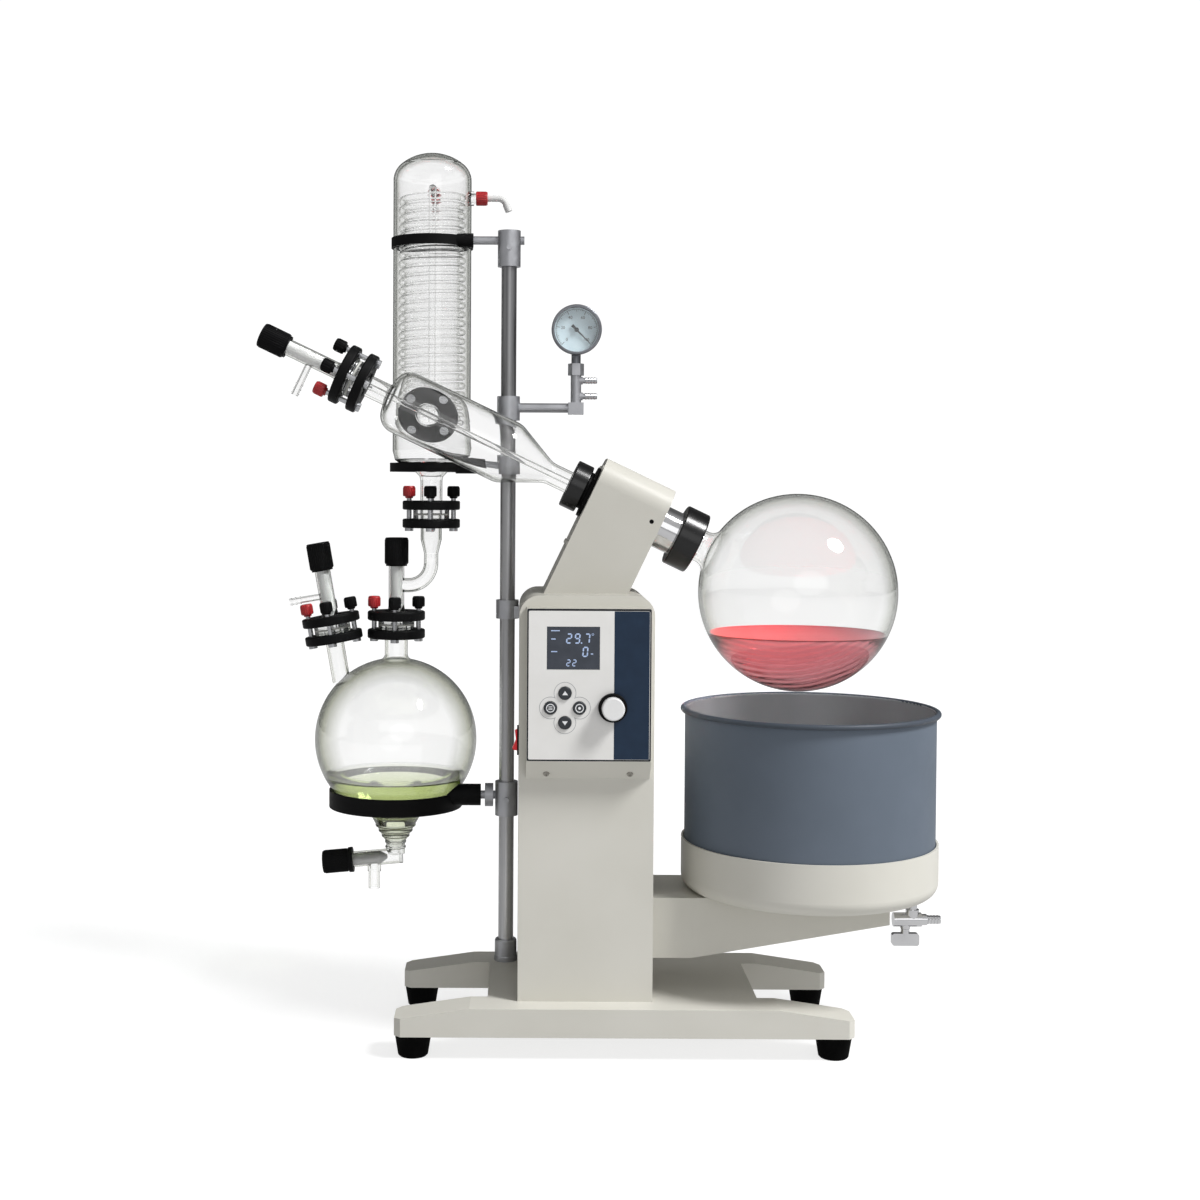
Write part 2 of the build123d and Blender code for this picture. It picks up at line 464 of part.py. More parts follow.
jacket = dome(0.0, [(COND_R, 664), (44.5, 653), (40, 649.6), (31, 649.6), (14.5, 633), (13.4, 628), (13.4, 592.3), (22, 592.3), (22, 588), (0, 588)])
jacket_in = dome(COND_T, [(COND_R - COND_T, 664.5), (42.6, 654.5), (39.3, 652.1), (30, 652.1), (12.4, 634.4), (11.2, 628.5), (11.2, 586), (0, 586)])
PORT_Z, PORT_BACK_Z = 970.0, 983.0
jacket = COND * jacket
jacket += rod((COND_X, COND_Y - 20, SIDE_Z), (COND_X, 58.5, SIDE_Z), 14.0) + rod((COND_X, 62.8, SIDE_Z), (COND_X, 58.5, SIDE_Z), 22.0)
jacket += rod((COND_X + 30, COND_Y, PORT_Z), (COND_X + COND_R + 15, COND_Y, PORT_Z), 6.4) + rod((COND_X + 40, COND_Y, PORT_Z), (COND_X + COND_R + 3, COND_Y, PORT_Z), 8.8)
jacket += rod((COND_X, COND_Y + 30, PORT_BACK_Z), (COND_X, COND_Y + COND_R + 15, PORT_BACK_Z), 6.4) + rod((COND_X, COND_Y + 40, PORT_BACK_Z), (COND_X, COND_Y + COND_R + 3, PORT_BACK_Z), 8.8)
jacket -= COND * jacket_in
jacket -= rod((COND_X, COND_Y - 20, SIDE_Z), (COND_X, 50, SIDE_Z), 11.8)
jacket -= rod((COND_X + 20, COND_Y, PORT_Z), (COND_X + COND_R + 20, COND_Y, PORT_Z), 4.9)
jacket -= rod((COND_X, COND_Y + 20, PORT_BACK_Z), (COND_X, COND_Y + COND_R + 20, PORT_BACK_Z), 4.9)
put("condenser_jacket", jacket)

helix = Helix(pitch=COIL_PITCH, height=COIL_PITCH * COIL_TURNS, radius=COIL_R)
start = helix @ 0
coil = sweep(Plane(origin=start, z_dir=helix % 0) * Circle(COIL_TUBE), path=helix, is_frenet=True)
coil = Pos(COND_X, COND_Y, COIL_Z0) * coil
top_z = COIL_Z0 + COIL_PITCH * COIL_TURNS
legs = rod((COND_X, COND_Y, COIL_Z0), (COND_X + COIL_R, COND_Y, COIL_Z0), 4.2)
legs += rod((COND_X, COND_Y, COIL_Z0 - 6), (COND_X, COND_Y, PORT_BACK_Z + 6), COIL_TUBE)
legs += rod((COND_X, COND_Y, PORT_BACK_Z), (COND_X, COND_Y + COND_R + 13, PORT_BACK_Z), 4.2)
for z in (top_z, COIL_Z0):
    coil += Pos(COND_X + COIL_R, COND_Y, z) * Sphere(COIL_TUBE + 0.4)
coil += rod((COND_X + COIL_R, COND_Y, top_z), (COND_X + COND_R + 13, COND_Y, top_z), 4.3)
coil += legs
put("condenser_coil", coil)
print("coil top", top_z, "port", PORT_Z)


def water_fitting(at):
    """Screw cap, elbow and hose tail on a port whose rim is at z = 0 of the frame at."""
    cap_ = turned_soft([(6.5, -9.5), (8.2, -9.5), (8.2, 4.5), (4.0, 4.5), (4.0, 1.5), (6.5, 1.5)], {2: 1.2})
    run, tip = Vector(-15.5, 0, 6.5).normalized(), Vector(-15.5, 0, 30.5)
    seat = tip - run * 9.5
    way = FilletPolyline((0, 0, 1.5), (0, 0, 24), tuple(seat), radius=10.0)
    root = Plane(origin=(0, 0, 1.5), z_dir=(0, 0, 1))
    elbow = sweep(root * Circle(3.8), path=way) + cyl(4.0, 1.5, 7.0)
    elbow -= sweep(root * Circle(2.4), path=way)
    tail = Plane(origin=seat, z_dir=run) * (cyl(4.3, 0, 9.5) - cyl(2.4, -1, 11))
    return at * cap_, [at * elbow, at * tail]


PORT_A = Plane(origin=(COND_X + COND_R + 15, COND_Y, PORT_Z), x_dir=(0, 0, 1), z_dir=(1, 0, 0))
PORT_B = Plane(origin=(COND_X, COND_Y + COND_R + 15, PORT_BACK_Z), x_dir=(0, 0, 1), z_dir=(0, 1, 0))
nozzles = []
for p in (PORT_A, PORT_B):
    a, b = water_fitting(p)
    reds.append(a)
    nozzles.append(b)
put("water_nozzles", nozzles)

put("flange_plates", plates)
put("flange_studs", studs)
put("flange_knobs", knobs)
put("red_caps", reds)
seal = ring(12.55, 17.0, HEAD_Z1 - 2, HEAD_Z1 + 6)
put("seals", gaskets, AX * seal)

# ---------------------------------------------------------------- receiving flask with its drain valve
DRAIN_TILT = 5.3
dt = math.radians(DRAIN_TILT)
DRAIN = Plane(origin=(RECV_X - 1.0, COND_Y, 168.5), x_dir=(-math.sin(dt), 0, math.cos(dt)), z_dir=(-math.cos(dt), 0, -math.sin(dt)))
K_DRAIN = 51.0
rv = bulb(RECV_R, 14.0, 7.0, INLET_FACE_Z - 1 - RECV_Z) + cyl(22.0, INLET_FACE_Z - 5.3 - RECV_Z, INLET_FACE_Z - 1 - RECV_Z)
rv += turned((0, -88), (36, -88), (29, -96.5), (15, -121), (11.5, -127), (11.5, -141), (0, -141))
rv_in = bulb(RECV_R - 2.4, 11.8, 9.4, INLET_FACE_Z + 1 - RECV_Z) + turned((0, -80), (36.5, -80), (27.3, -93.7), (12.8, -120), (6.0, -127), (6.0, -142), (0, -142))
rv = RECV * rv
rv += VENT * (cyl(11.0, -66, -1) + cyl(22.0, -5.3, -1))
rv += DRAIN * cyl(9.5, -9.5, K_DRAIN + 11)
rv += rod((-164.6, COND_Y, 167), (-164.6, COND_Y, 129), 7.0) + rod((-164.6, COND_Y, 167), (-164.6, COND_Y, 150), 8.2)
rv -= RECV * rv_in
rv -= VENT * cyl(8.8, -75, 1)
rv -= DRAIN * cyl(7.8, -5.5, K_DRAIN + 13)
rv -= rod((-164.6, COND_Y, 166), (-164.6, COND_Y, 128), 5.0)
put("receiving_flask", rv)
spindle = turned((0, 9), (2.5, 9), (7.5, 17), (7.5, K_DRAIN + 13), (6.0, K_DRAIN + 13), (6.0, K_DRAIN + 24), (0, K_DRAIN + 24))
dknob = turned_soft([(9.8, K_DRAIN), (15.2, K_DRAIN), (15.2, K_DRAIN + 5), (13.6, K_DRAIN + 6), (13.6, K_DRAIN + 37), (0, K_DRAIN + 37), (0, K_DRAIN + 24), (6.0, K_DRAIN + 24),
                     (6.0, K_DRAIN + 13), (9.8, K_DRAIN + 13)], {4: 1.6})
put("drain_valve_stem", DRAIN * spindle, DRAIN * dknob)

# ---------------------------------------------------------------- pole, clamps and gauge
UP_Z, LOW_Z, RECV_RING_Z = 915.0, 644.0, 250.0
put("support_pole", cyl(POLE_R, BEAM_Z1, 905.0, (POLE_X, POLE_Y)))


def boss(z0, z1, zr):
    b = cyl(13.5, z0, z1, (POLE_X, POLE_Y)) + box(POLE_X - 11, POLE_X + 11, POLE_Y + 4, ROD_Y, zr - 9, zr + 9)
    b += rod((POLE_X - 13.2, ROD_Y, zr), (POLE_X + 13.2, ROD_Y, zr), 9.5)
    b -= cyl(POLE_R, z0 - 1, z1 + 1, (POLE_X, POLE_Y)) if z1 < 900 else cyl(POLE_R, z0 - 1, 905.0, (POLE_X, POLE_Y))
    b -= rod((POLE_X - 20, ROD_Y, zr), (POLE_X + 20, ROD_Y, zr), ROD_R)
    screw_ = rod((POLE_X, POLE_Y - 12, (z0 + z1) / 2), (POLE_X, POLE_Y - 17, (z0 + z1) / 2), 3.0)
    return b + (screw_ - cyl(13.4, z0, z1, (POLE_X, POLE_Y)))


bosses = [boss(880.5, 923.0, UP_Z), boss(631.5, 658.0, LOW_Z), boss(230.5, 271.0, RECV_RING_Z)]
rods = [rod((-53.5, ROD_Y, UP_Z), (15, ROD_Y, UP_Z), ROD_R), rod((-55, ROD_Y, LOW_Z), (9, ROD_Y, LOW_Z), ROD_R),
        rod((-58, ROD_Y, RECV_RING_Z), (9, ROD_Y, RECV_RING_Z), ROD_R)]
lock = rod((-29, ROD_Y, RECV_RING_Z), (-19, ROD_Y, RECV_RING_Z), 14.0) - rod((-40, ROD_Y, RECV_RING_Z), (0, ROD_Y, RECV_RING_Z), ROD_R)
gauge_boss = cyl(13.5, 699.5, 728.0, (POLE_X, POLE_Y)) - cyl(POLE_R, 690, 740, (POLE_X, POLE_Y)) - rod((7.0, POLE_Y, 714.5), (20, POLE_Y, 714.5), 5.6)
bracket = cyl(13.5, 465.0, 487.0, (POLE_X, POLE_Y)) + box(POLE_X + 4, cx0, 69, 82, 466, 480)
bracket -= cyl(POLE_R, 460, 490, (POLE_X, POLE_Y))
socket = turned((POLE_R, BEAM_Z1), (13.7, BEAM_Z1), (13.7, 62), (13.0, 63), (13.0, 81), (12.0, 82.5), (POLE_R, 82.5))
put("pole_clamps", bosses, rods, lock, gauge_boss, bracket, Pos(POLE_X, POLE_Y, 0) * socket)

upper = COND * ring(COND_R + 0.3, 49.6, UP_Z - 6, UP_Z + 6) + rod((-72, ROD_Y, UP_Z), (-46, ROD_Y, UP_Z), 8.5)
upper -= COND * cyl(COND_R + 0.3, 880, 940)
upper -= rod((-53.5, ROD_Y, UP_Z), (0, ROD_Y, UP_Z), ROD_R)
lower = COND * ring(32.5, 50.5, 638.5, 649.4) + rod((-66, ROD_Y, LOW_Z), (-32, ROD_Y, LOW_Z), 7.5)
lower -= COND * cyl(32.5, 600, 700)
lower -= box(-70, -50, 80, 130, 649.4, 670)
lower -= rod((-55, ROD_Y, LOW_Z), (0, ROD_Y, LOW_Z), ROD_R)
cradle = RECV * ring(62.0, 81.0, -82.0, -61.5) + rod((-80, ROD_Y, RECV_RING_Z), (-34, ROD_Y, RECV_RING_Z), 13.0)
cradle -= RECV * Sphere(RECV_R + 0.25)
cradle -= rod((-58, ROD_Y, RECV_RING_Z), (0, ROD_Y, RECV_RING_Z), ROD_R)
put("glass_clamps", upper, lower, cradle)

# vacuum gauge, facing the front
gy = POLE_Y
face = Plane(origin=(GAUGE_X, gy, GAUGE_Z), x_dir=(1, 0, 0), z_dir=(0, -1, 0))
case = turned_soft([(0, -9), (26, -9), (27.5, -7), (27.5, 10), (29.5, 11), (29.5, 18.5), (26.3, 18.5), (26.3, 9), (0, 9)], {5: 1.4})
case -= cyl(1.5, 0, 12)
case = face * case
case += rod((GAUGE_X, gy, GAUGE_Z - 25), (GAUGE_X, gy, 767), 5.5) - face * cyl(26.3, 8.9, 30)
put("gauge_case", case)
put("gauge_lens", face * cyl(26.2, 14.5, 16.5))
needle = Polyline((-7.5, -1.9, 0), (-7.5, 1.9, 0), (0, 1.1, 0), (21.5, 0.25, 0), (21.5, -0.25, 0), (0, -1.1, 0), close=True)
needle = Pos(0, 0, 11) * extrude(make_face(needle), amount=0.8, dir=(0, 0, 1)) + cyl(2.6, 11, 13.2) + cyl(1.4, 2.0, 12)
put("gauge_needle", face * (Rot(0, 0, -45) * needle))

man = rod((GAUGE_X, gy, 707.5), (GAUGE_X, gy, 753), 6.2)
hexa = Pos(GAUGE_X, gy, 753) * extrude(RegularPolygon(9.5, 6), amount=14, dir=(0, 0, 1))
man += hexa + box(GAUGE_X - 9, GAUGE_X + 9, gy - 8, gy + 8, 707, 721)
man += rod((8.0, gy, 714.5), (GAUGE_X, gy, 714.5), 5.6)
BARB_R, BARB_LEN, BARB_Z = 3.4, 20.0, (747.0, 728.5)
for z in BARB_Z:
    man += rod((GAUGE_X, gy, z), (GAUGE_X + 5 + BARB_LEN, gy, z), BARB_R) + rod((GAUGE_X, gy, z), (GAUGE_X + 8, gy, z), 4.6)
man -= rod((GAUGE_X, gy, 715), (GAUGE_X, gy, 768), 2.0)
for z in BARB_Z:
    man -= rod((GAUGE_X, gy, z), (GAUGE_X + 30, gy, z), 1.8)
put("gauge_manifold", man)

# ---------------------------------------------------------------- bath and lift
BATH = Pos(BATH_X, 0, 0)
pot = turned((0, POT_Z0), (POT_R - 6, POT_Z0), (POT_R, POT_Z0 + 6), (POT_R, POT_TOP - 3.2), (POT_R - 2, POT_TOP - 3.2), (POT_R - 2, POT_Z0 + 8), (POT_R - 7, POT_Z0 + 3), (0, POT_Z0 + 3))
lip = revolve(Plane.XZ * (Pos(POT_R + 1.8, POT_TOP - 3.2) * Circle(3.2)), Axis.Z)
pot = BATH * (pot + lip)
DRAIN_X = 463.0
pot -= cyl(4.0, POT_Z0 - 2, POT_Z0 + 6, (DRAIN_X, 0))
put("bath_pot", pot)

base = turned_soft([(0, SKIRT_Z0), (SKIRT_R, SKIRT_Z0), (SKIRT_R, SKIRT_Z1), (SKIRT_R - 2.4, SKIRT_Z1), (SKIRT_R - 2.4, POT_Z0), (130, POT_Z0), (130, POT_Z0 - 5), (SKIRT_R - 2.4, POT_Z0 - 5),
                    (SKIRT_R - 2.4, SKIRT_Z0 + 3), (0, SKIRT_Z0 + 3)], {1: 15.0, 8: 12.6})
base = BATH * base - cyl(6.3, SKIRT_Z0 - 2, SKIRT_Z0 + 6, (DRAIN_X, 0))
put("bath_base", base)

heater = Pos(BATH_X, 0, 178.5) * Torus(84, 4.0) + Pos(BATH_X, 0, 178.5) * Torus(55, 4.0)
heater += rod((BATH_X - 84, 0, 178.5), (BATH_X - 55, 0, 178.5), 4.0)
heater += box(BATH_X - 12, BATH_X + 12, -90, -48, SKIRT_Z0 + 3, 178) + box(BATH_X - 12, BATH_X + 12, 48, 90, SKIRT_Z0 + 3, 178)
put("bath_heater", heater)

# cantilever arm, open below, with its neck through the slot, and the carriage inside the column
ax0, ax1 = cx1 + 1.5, 428.0
plan = make_face(Polyline((ax0, -56, 0), (206, -56, 0), (ax1, -42, 0), (ax1, 42, 0), (206, 56, 0), (ax0, 56, 0), close=True))
plan_in = make_face(Polyline((ax0 + 6, -52, 0), (206, -52, 0), (ax1 - 4, -38.3, 0), (ax1 - 4, 38.3, 0), (206, 52, 0), (ax0 + 6, 52, 0), close=True))
arm = Pos(0, 0, 98) * extrude(plan, amount=SKIRT_Z0 - 98, dir=(0, 0, 1))
arm -= Pos(0, 0, 90) * extrude(plan_in, amount=SKIRT_Z0 - 5 - 90, dir=(0, 0, 1))
cut = make_face(Polyline((203, 0, 97.9), (440, 0, 134), (440, 0, 60), (203, 0, 60), close=True))
arm -= extrude(cut, amount=80, dir=(0, 1, 0), both=True)
arm += box(146.0, ax0 + 3, -20, 20, 104, 156)
carriage = box(103, 146, -50, 50, 100, 160)
for y, r in ((-GUIDE_Y, GUIDE_R + 0.08), (GUIDE_Y, GUIDE_R + 0.08), (0, SCREW_R + 0.09)):
    carriage -= cyl(r, 90, 170, (SCREW_X, y))
put("bath_arm", arm, carriage)

lf = [cyl(GUIDE_R, 60.0, 297.0, (SCREW_X, s * GUIDE_Y)) for s in (-1, 1)]
low_plate = box(92, cx1 - SHEET, -56, 56, BEAM_Z1, 60.0)
top_plate = box(92, cx1 - SHEET, -56, 56, 297.0, 303.0) - cyl(4.1, 290, 310, (SCREW_X, 0))
put("lift_frame", lf, low_plate, top_plate)
put("lift_screw", cyl(SCREW_R, 90.6, 296.4, (SCREW_X, 0)) + cyl(4.0, 296, 302.5, (SCREW_X, 0)))

# bath drain: pipe, ball valve with a hose tail, and its butterfly handle
TAP_Z, TAP_X = 128.0, 455.0
tap = cyl(5.5, TAP_Z, POT_Z0, (DRAIN_X, 0)) + cyl(7.5, SKIRT_Z0 - 8, SKIRT_Z0, (DRAIN_X, 0)) + cyl(7.6, TAP_Z, TAP_Z + 12, (DRAIN_X, 0))
tap += rod((441, 0, TAP_Z), (473, 0, TAP_Z), 8.0) + rod((473, 0, TAP_Z), (479, 0, TAP_Z), 6.4)
TAIL_R = 4.6
tap += rod((475, 0, TAP_Z), (495.0, 0, TAP_Z), TAIL_R)
tap += cyl(5.6, TAP_Z - 10.0, TAP_Z, (TAP_X, 0))
tap -= rod((460, 0, TAP_Z), (500, 0, TAP_Z), 2.6)
tap -= cyl(3.2, TAP_Z, POT_Z0 + 1, (DRAIN_X, 0))
tap -= cyl(3.05, TAP_Z - 12, TAP_Z - 3, (TAP_X, 0))
put("drain_valve", tap)
wing = cyl(3.0, 112.0, TAP_Z - 3.4, (TAP_X, 0)) + cyl(5.0, 109.5, TAP_Z - 10.4, (TAP_X, 0))
wing += Pos(TAP_X, 0, 105.5) * fillet(Box(31, 8, 14).edges().filter_by(Axis.Y), 3.0)
put("drain_handle", wing)

# ---------------------------------------------------------------- visible screws
def screw(p, d, r=3.6):
    """Pan head screw with its seat at p, head pointing along d."""
    pl = Plane(origin=p, z_dir=d)
    return pl * (turned((0, 0), (r, 0), (r * 0.8, 1.8), (0, 2.2)) - Box(r * 1.2, 0.8, 6))


screws = [screw(tuple(q), tuple(chin_n)) for q in screw_at]
screws += [screw((COL_X + sx * 64, COL_Y + 2, z), (0, 1, 0)) for sx in (-1, 1) for z in (76, 270, 468)]
screws += [Plane(origin=on_axis(HEAD_Z1, x, y), z_dir=(-C, 0, S)) * (turned((0, 0), (3.2, 0), (2.6, 1.7), (0, 2.0)) - Box(3.8, 0.8, 6)) for x in (31, -62) for y in (-36, 36)]
screws += [AX * (Pos(0, -HEAD_HALF + 1.2, 191.5) * (Rot(-90, 0, 0) * Cylinder(2.4, 9.0, align=MIN3)))]
put("cover_screws", screws)

everything = [s for shapes in made.values() for s in shapes]
lo = [min(getattr(s.bounding_box().min, a) for s in everything) for a in "XYZ"]
hi = [max(getattr(s.bounding_box().max, a) for s in everything) for a in "XYZ"]
print("nodes", len(made), "low", [round(v, 3) for v in lo], "high", [round(v, 3) for v in hi])
print("centre", [round((a + b) / 2, 3) for a, b in zip(lo, hi)])
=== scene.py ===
# Studio scene of a bench rotary evaporator: materials, liquids and fine detail on the fixed frame.
# Metres, +Z up. W marks the working frame in millimetres that the drive axis is described in.
import bpy
import bmesh
import math
from mathutils import Matrix, Vector


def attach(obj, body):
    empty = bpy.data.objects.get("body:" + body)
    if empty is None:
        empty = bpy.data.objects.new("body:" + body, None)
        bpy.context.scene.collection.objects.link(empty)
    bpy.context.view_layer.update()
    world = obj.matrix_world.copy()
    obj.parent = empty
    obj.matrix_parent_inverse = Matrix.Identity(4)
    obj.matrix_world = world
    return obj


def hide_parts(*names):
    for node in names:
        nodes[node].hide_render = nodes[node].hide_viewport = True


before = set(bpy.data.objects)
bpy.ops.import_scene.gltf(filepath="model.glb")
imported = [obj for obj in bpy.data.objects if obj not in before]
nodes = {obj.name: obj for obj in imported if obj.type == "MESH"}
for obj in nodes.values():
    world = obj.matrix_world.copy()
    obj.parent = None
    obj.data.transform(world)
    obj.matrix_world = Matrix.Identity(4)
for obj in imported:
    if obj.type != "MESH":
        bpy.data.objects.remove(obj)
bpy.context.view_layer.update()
scene = bpy.context.scene

# ------------------------------------------------------------------ frames and mesh helpers
OX, OY = 103.055, 43.5
TILT = math.radians(25.4)
C, S = math.cos(TILT), math.sin(TILT)
FLASK_C = (330.4, 0.0, 501.2)
COND_X, COND_Y = -96.6, 135.0
RECV = (-138.7, 135.0, 312.9)


def P(x, y, z):
    return Vector(((x - OX) / 1000, (y - OY) / 1000, z / 1000))


def at(o, z, x):
    """Matrix from local millimetres to the row frame: origin o of W, local z and x directions."""
    z = Vector(z).normalized()
    x = Vector(x)
    x = (x - z * x.dot(z)).normalized()
    y = z.cross(x)
    m = Matrix(((x.x, y.x, z.x, 0), (x.y, y.y, z.y, 0), (x.z, y.z, z.z, 0), (0, 0, 0, 1)))
    return Matrix.Translation(P(*o)) @ m @ Matrix.Scale(0.001, 4)


W = at((0, 0, 0), (0, 0, 1), (1, 0, 0))
AX = at(FLASK_C, (-C, 0, S), (S, 0, C))


def on_axis(z, x=0.0, y=0.0):
    return (FLASK_C[0] - C * z + S * x, y, FLASK_C[2] + S * z + C * x)


SIDE_Z = FLASK_C[2] + S * (FLASK_C[0] - COND_X) / C
FEED = at(on_axis(563.5), (-C, 0, S), (S, 0, C))
SIDE = at((COND_X, 57.5, SIDE_Z), (0, 1, 0), (1, 0, 0))
OUTLET = at((COND_X, COND_Y, 587.0), (0, 0, 1), (1, 0, 0))
INLET = at((RECV[0], COND_Y, 452.5), (0, 0, 1), (1, 0, 0))
VT = math.radians(10.0)
VENT = at((-216.7, COND_Y, 447.0), (-math.sin(VT), 0, math.cos(VT)), (math.cos(VT), 0, math.sin(VT)))
DT = math.radians(5.3)
DRAIN = at((RECV[0] - 1.0, COND_Y, 168.5), (-math.cos(DT), 0, -math.sin(DT)), (-math.sin(DT), 0, math.cos(DT)))
FACE = at((76.7, 80.0, 806.0), (0, -1, 0), (1, 0, 0))
FRONT = at((0, 0, 0), (0, -1, 0), (1, 0, 0))          # local x = X, y = Z, z = out of the panel


def piece(name, parts, mat, body, smooth=38.0):
    """One object from [(matrix, verts, faces)] parts, riding on a body."""
    verts, faces = [], []
    for m, v, f in parts:
        k = len(verts)
        verts += [m @ Vector(p) for p in v]
        faces += [tuple(i + k for i in q) for q in f]
    me = bpy.data.meshes.new(name)
    me.from_pydata(verts, [], faces)
    bm = bmesh.new()
    bm.from_mesh(me)
    bmesh.ops.recalc_face_normals(bm, faces=bm.faces)
    bm.to_mesh(me)
    bm.free()
    me.polygons.foreach_set("use_smooth", [True] * len(me.polygons))
    me.set_sharp_from_angle(angle=math.radians(smooth))
    o = bpy.data.objects.new(name, me)
    scene.collection.objects.link(o)
    me.materials.append(mat)
    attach(o, body)
    return o


def lathe(prof, segs=96):
    """Revolve a closed (r, z) outline about local z."""
    verts, rings, faces = [], [], []
    for r, z in prof:
        if r < 1e-6:
            rings.append([len(verts)])
            verts.append((0, 0, z))
        else:
            k = len(verts)
            rings.append(list(range(k, k + segs)))
            for i in range(segs):
                a = 2 * math.pi * i / segs
                verts.append((r * math.cos(a), r * math.sin(a), z))
    n = len(prof)
    for i in range(n):
        a, b = rings[i], rings[(i + 1) % n]
        if len(a) == 1 and len(b) == 1:
            continue
        for k in range(segs):
            j = (k + 1) % segs
            if len(a) == 1:
                faces.append((a[0], b[k], b[j]))
            elif len(b) == 1:
                faces.append((a[k], a[j], b[0]))
            else:
                faces.append((a[k], a[j], b[j], b[k]))
    return verts, faces


def soft(pts, radii, n=8):
    """Round the corners i of a closed outline by radii[i]."""
    out = []
    for i, p in enumerate(pts):
        if i not in radii:
            out.append(tuple(p))
            continue
        p0, p1 = Vector(pts[i - 1]), Vector(pts[(i + 1) % len(pts)])
        c = Vector(p)
        u, v = (p0 - c).normalized(), (p1 - c).normalized()
        half = math.acos(max(-1, min(1, u.dot(v)))) / 2
        t = radii[i] / math.tan(half)
        mid = c + (u + v).normalized() * (radii[i] / math.sin(half))
        a, b = c + u * t - mid, c + v * t - mid
        turn = math.atan2(a.x * b.y - a.y * b.x, a.dot(b))
        for k in range(n + 1):
            q = turn * k / n
            out.append((mid.x + a.x * math.cos(q) - a.y * math.sin(q), mid.y + a.x * math.sin(q) + a.y * math.cos(q)))
    return out


def plate(outline, z0, z1, holes=()):
    """Flat plate from an outline, with optional holes, between z0 and z1."""
    bm = bmesh.new()
    loops = [outline] + list(holes)
    edges = []
    for lp in loops:
        vs = [bm.verts.new((x, y, z0)) for x, y in lp]
        for a, b in zip(vs, vs[1:] + vs[:1]):
            edges.append(bm.edges.new((a, b)))
    bmesh.ops.triangle_fill(bm, use_beauty=True, use_dissolve=False, edges=edges)
    got = bmesh.ops.extrude_face_region(bm, geom=list(bm.faces))
    for e in got["geom"]:
        if isinstance(e, bmesh.types.BMVert):
            e.co.z = z1
    bm.verts.index_update()
    v = [tuple(q.co) for q in bm.verts]
    f = [tuple(q.index for q in fc.verts) for fc in bm.faces]
    bm.free()
    return v, f


def circle(cx, cy, r, n=48, a0=0.0, a1=2 * math.pi, end=False):
    m = n + 1 if end else n
    return [(cx + r * math.cos(a0 + (a1 - a0) * k / n), cy + r * math.sin(a0 + (a1 - a0) * k / n)) for k in range(m)]


def rect(x0, y0, x1, y1):
    return [(x0, y0), (x1, y0), (x1, y1), (x0, y1)]


def tube(points, r_out, r_in=None, segs=20):
    """Pipe along points, hollow when r_in is given."""
    pts = [Vector(p) for p in points]
    tang = []
    for i in range(len(pts)):
        a, b = pts[max(i - 1, 0)], pts[min(i + 1, len(pts) - 1)]
        tang.append((b - a).normalized())
    ref = Vector((0, 0, 1)) if abs(tang[0].z) < 0.9 else Vector((1, 0, 0))
    n = (ref - tang[0] * ref.dot(tang[0])).normalized()
    verts, faces = [], []
    radii = [r_out] if r_in is None else [r_out, r_in]
    for i, p in enumerate(pts):
        n = (n - tang[i] * n.dot(tang[i])).normalized()
        b = tang[i].cross(n)
        for r in radii:
            for k in range(segs):
                a = 2 * math.pi * k / segs
                verts.append(tuple(p + n * (r * math.cos(a)) + b * (r * math.sin(a))))
    step = segs * len(radii)
    for i in range(len(pts) - 1):
        for s in range(len(radii)):
            o = i * step + s * segs
            for k in range(segs):
                j = (k + 1) % segs
                q = (o + k, o + j, o + step + j, o + step + k)
                faces.append(q if s == 0 else q[::-1])
    last = (len(pts) - 1) * step
    for o in (0, last):
        if r_in is None:
            ring_ = tuple(range(o, o + segs))
            faces.append(ring_[::-1] if o == 0 else ring_)
        else:
            for k in range(segs):
                j = (k + 1) % segs
                q = (o + k, o + j, o + segs + j, o + segs + k)
                faces.append(q[::-1] if o == 0 else q)
    return verts, faces


def ribs(r, z0, z1, n, width, height, sink=0.3):
    """n upright ribs with rounded tops round a cylinder of radius r."""
    verts, faces = [], []
    for i in range(n):
        a = 2 * math.pi * i / n
        u, t = Vector((math.cos(a), math.sin(a), 0)), Vector((-math.sin(a), math.cos(a), 0))
        prof = [(-width / 2, -sink), (-width / 2, height * 0.35), (-width * 0.28, height), (width * 0.28, height), (width / 2, height * 0.35), (width / 2, -sink)]
        k = len(verts)
        for z, shrink in ((z0, 0.0), (z0 + 0.6, 1.0), (z1 - 0.6, 1.0), (z1, 0.0)):
            for w, h in prof:
                hh = h if shrink or h < 0 else h * 0.2
                q = u * (r + hh) + t * w
                verts.append((q.x, q.y, z))
        m = len(prof)
        for s in range(3):
            for j in range(m):
                j2 = (j + 1) % m
                faces.append((k + s * m + j, k + s * m + j2, k + (s + 1) * m + j2, k + (s + 1) * m + j))
        faces.append(tuple(k + j for j in range(m))[::-1])
        faces.append(tuple(k + 3 * m + j for j in range(m)))
    return verts, faces


# ------------------------------------------------------------------ materials
def lin(r, g, b):
    f = lambda c: c / 12.92 if c <= 0.04045 else ((c + 0.055) / 1.055) ** 2.4
    return (f(r / 255), f(g / 255), f(b / 255), 1.0)


def shader(name):
    m = bpy.data.materials.new(name)
    m.use_nodes = True
    nt = m.node_tree
    nt.nodes.clear()
    out = nt.nodes.new("ShaderNodeOutputMaterial")
    b = nt.nodes.new("ShaderNodeBsdfPrincipled")
    nt.links.new(b.outputs["BSDF"], out.inputs["Surface"])
    return m, nt, b, out


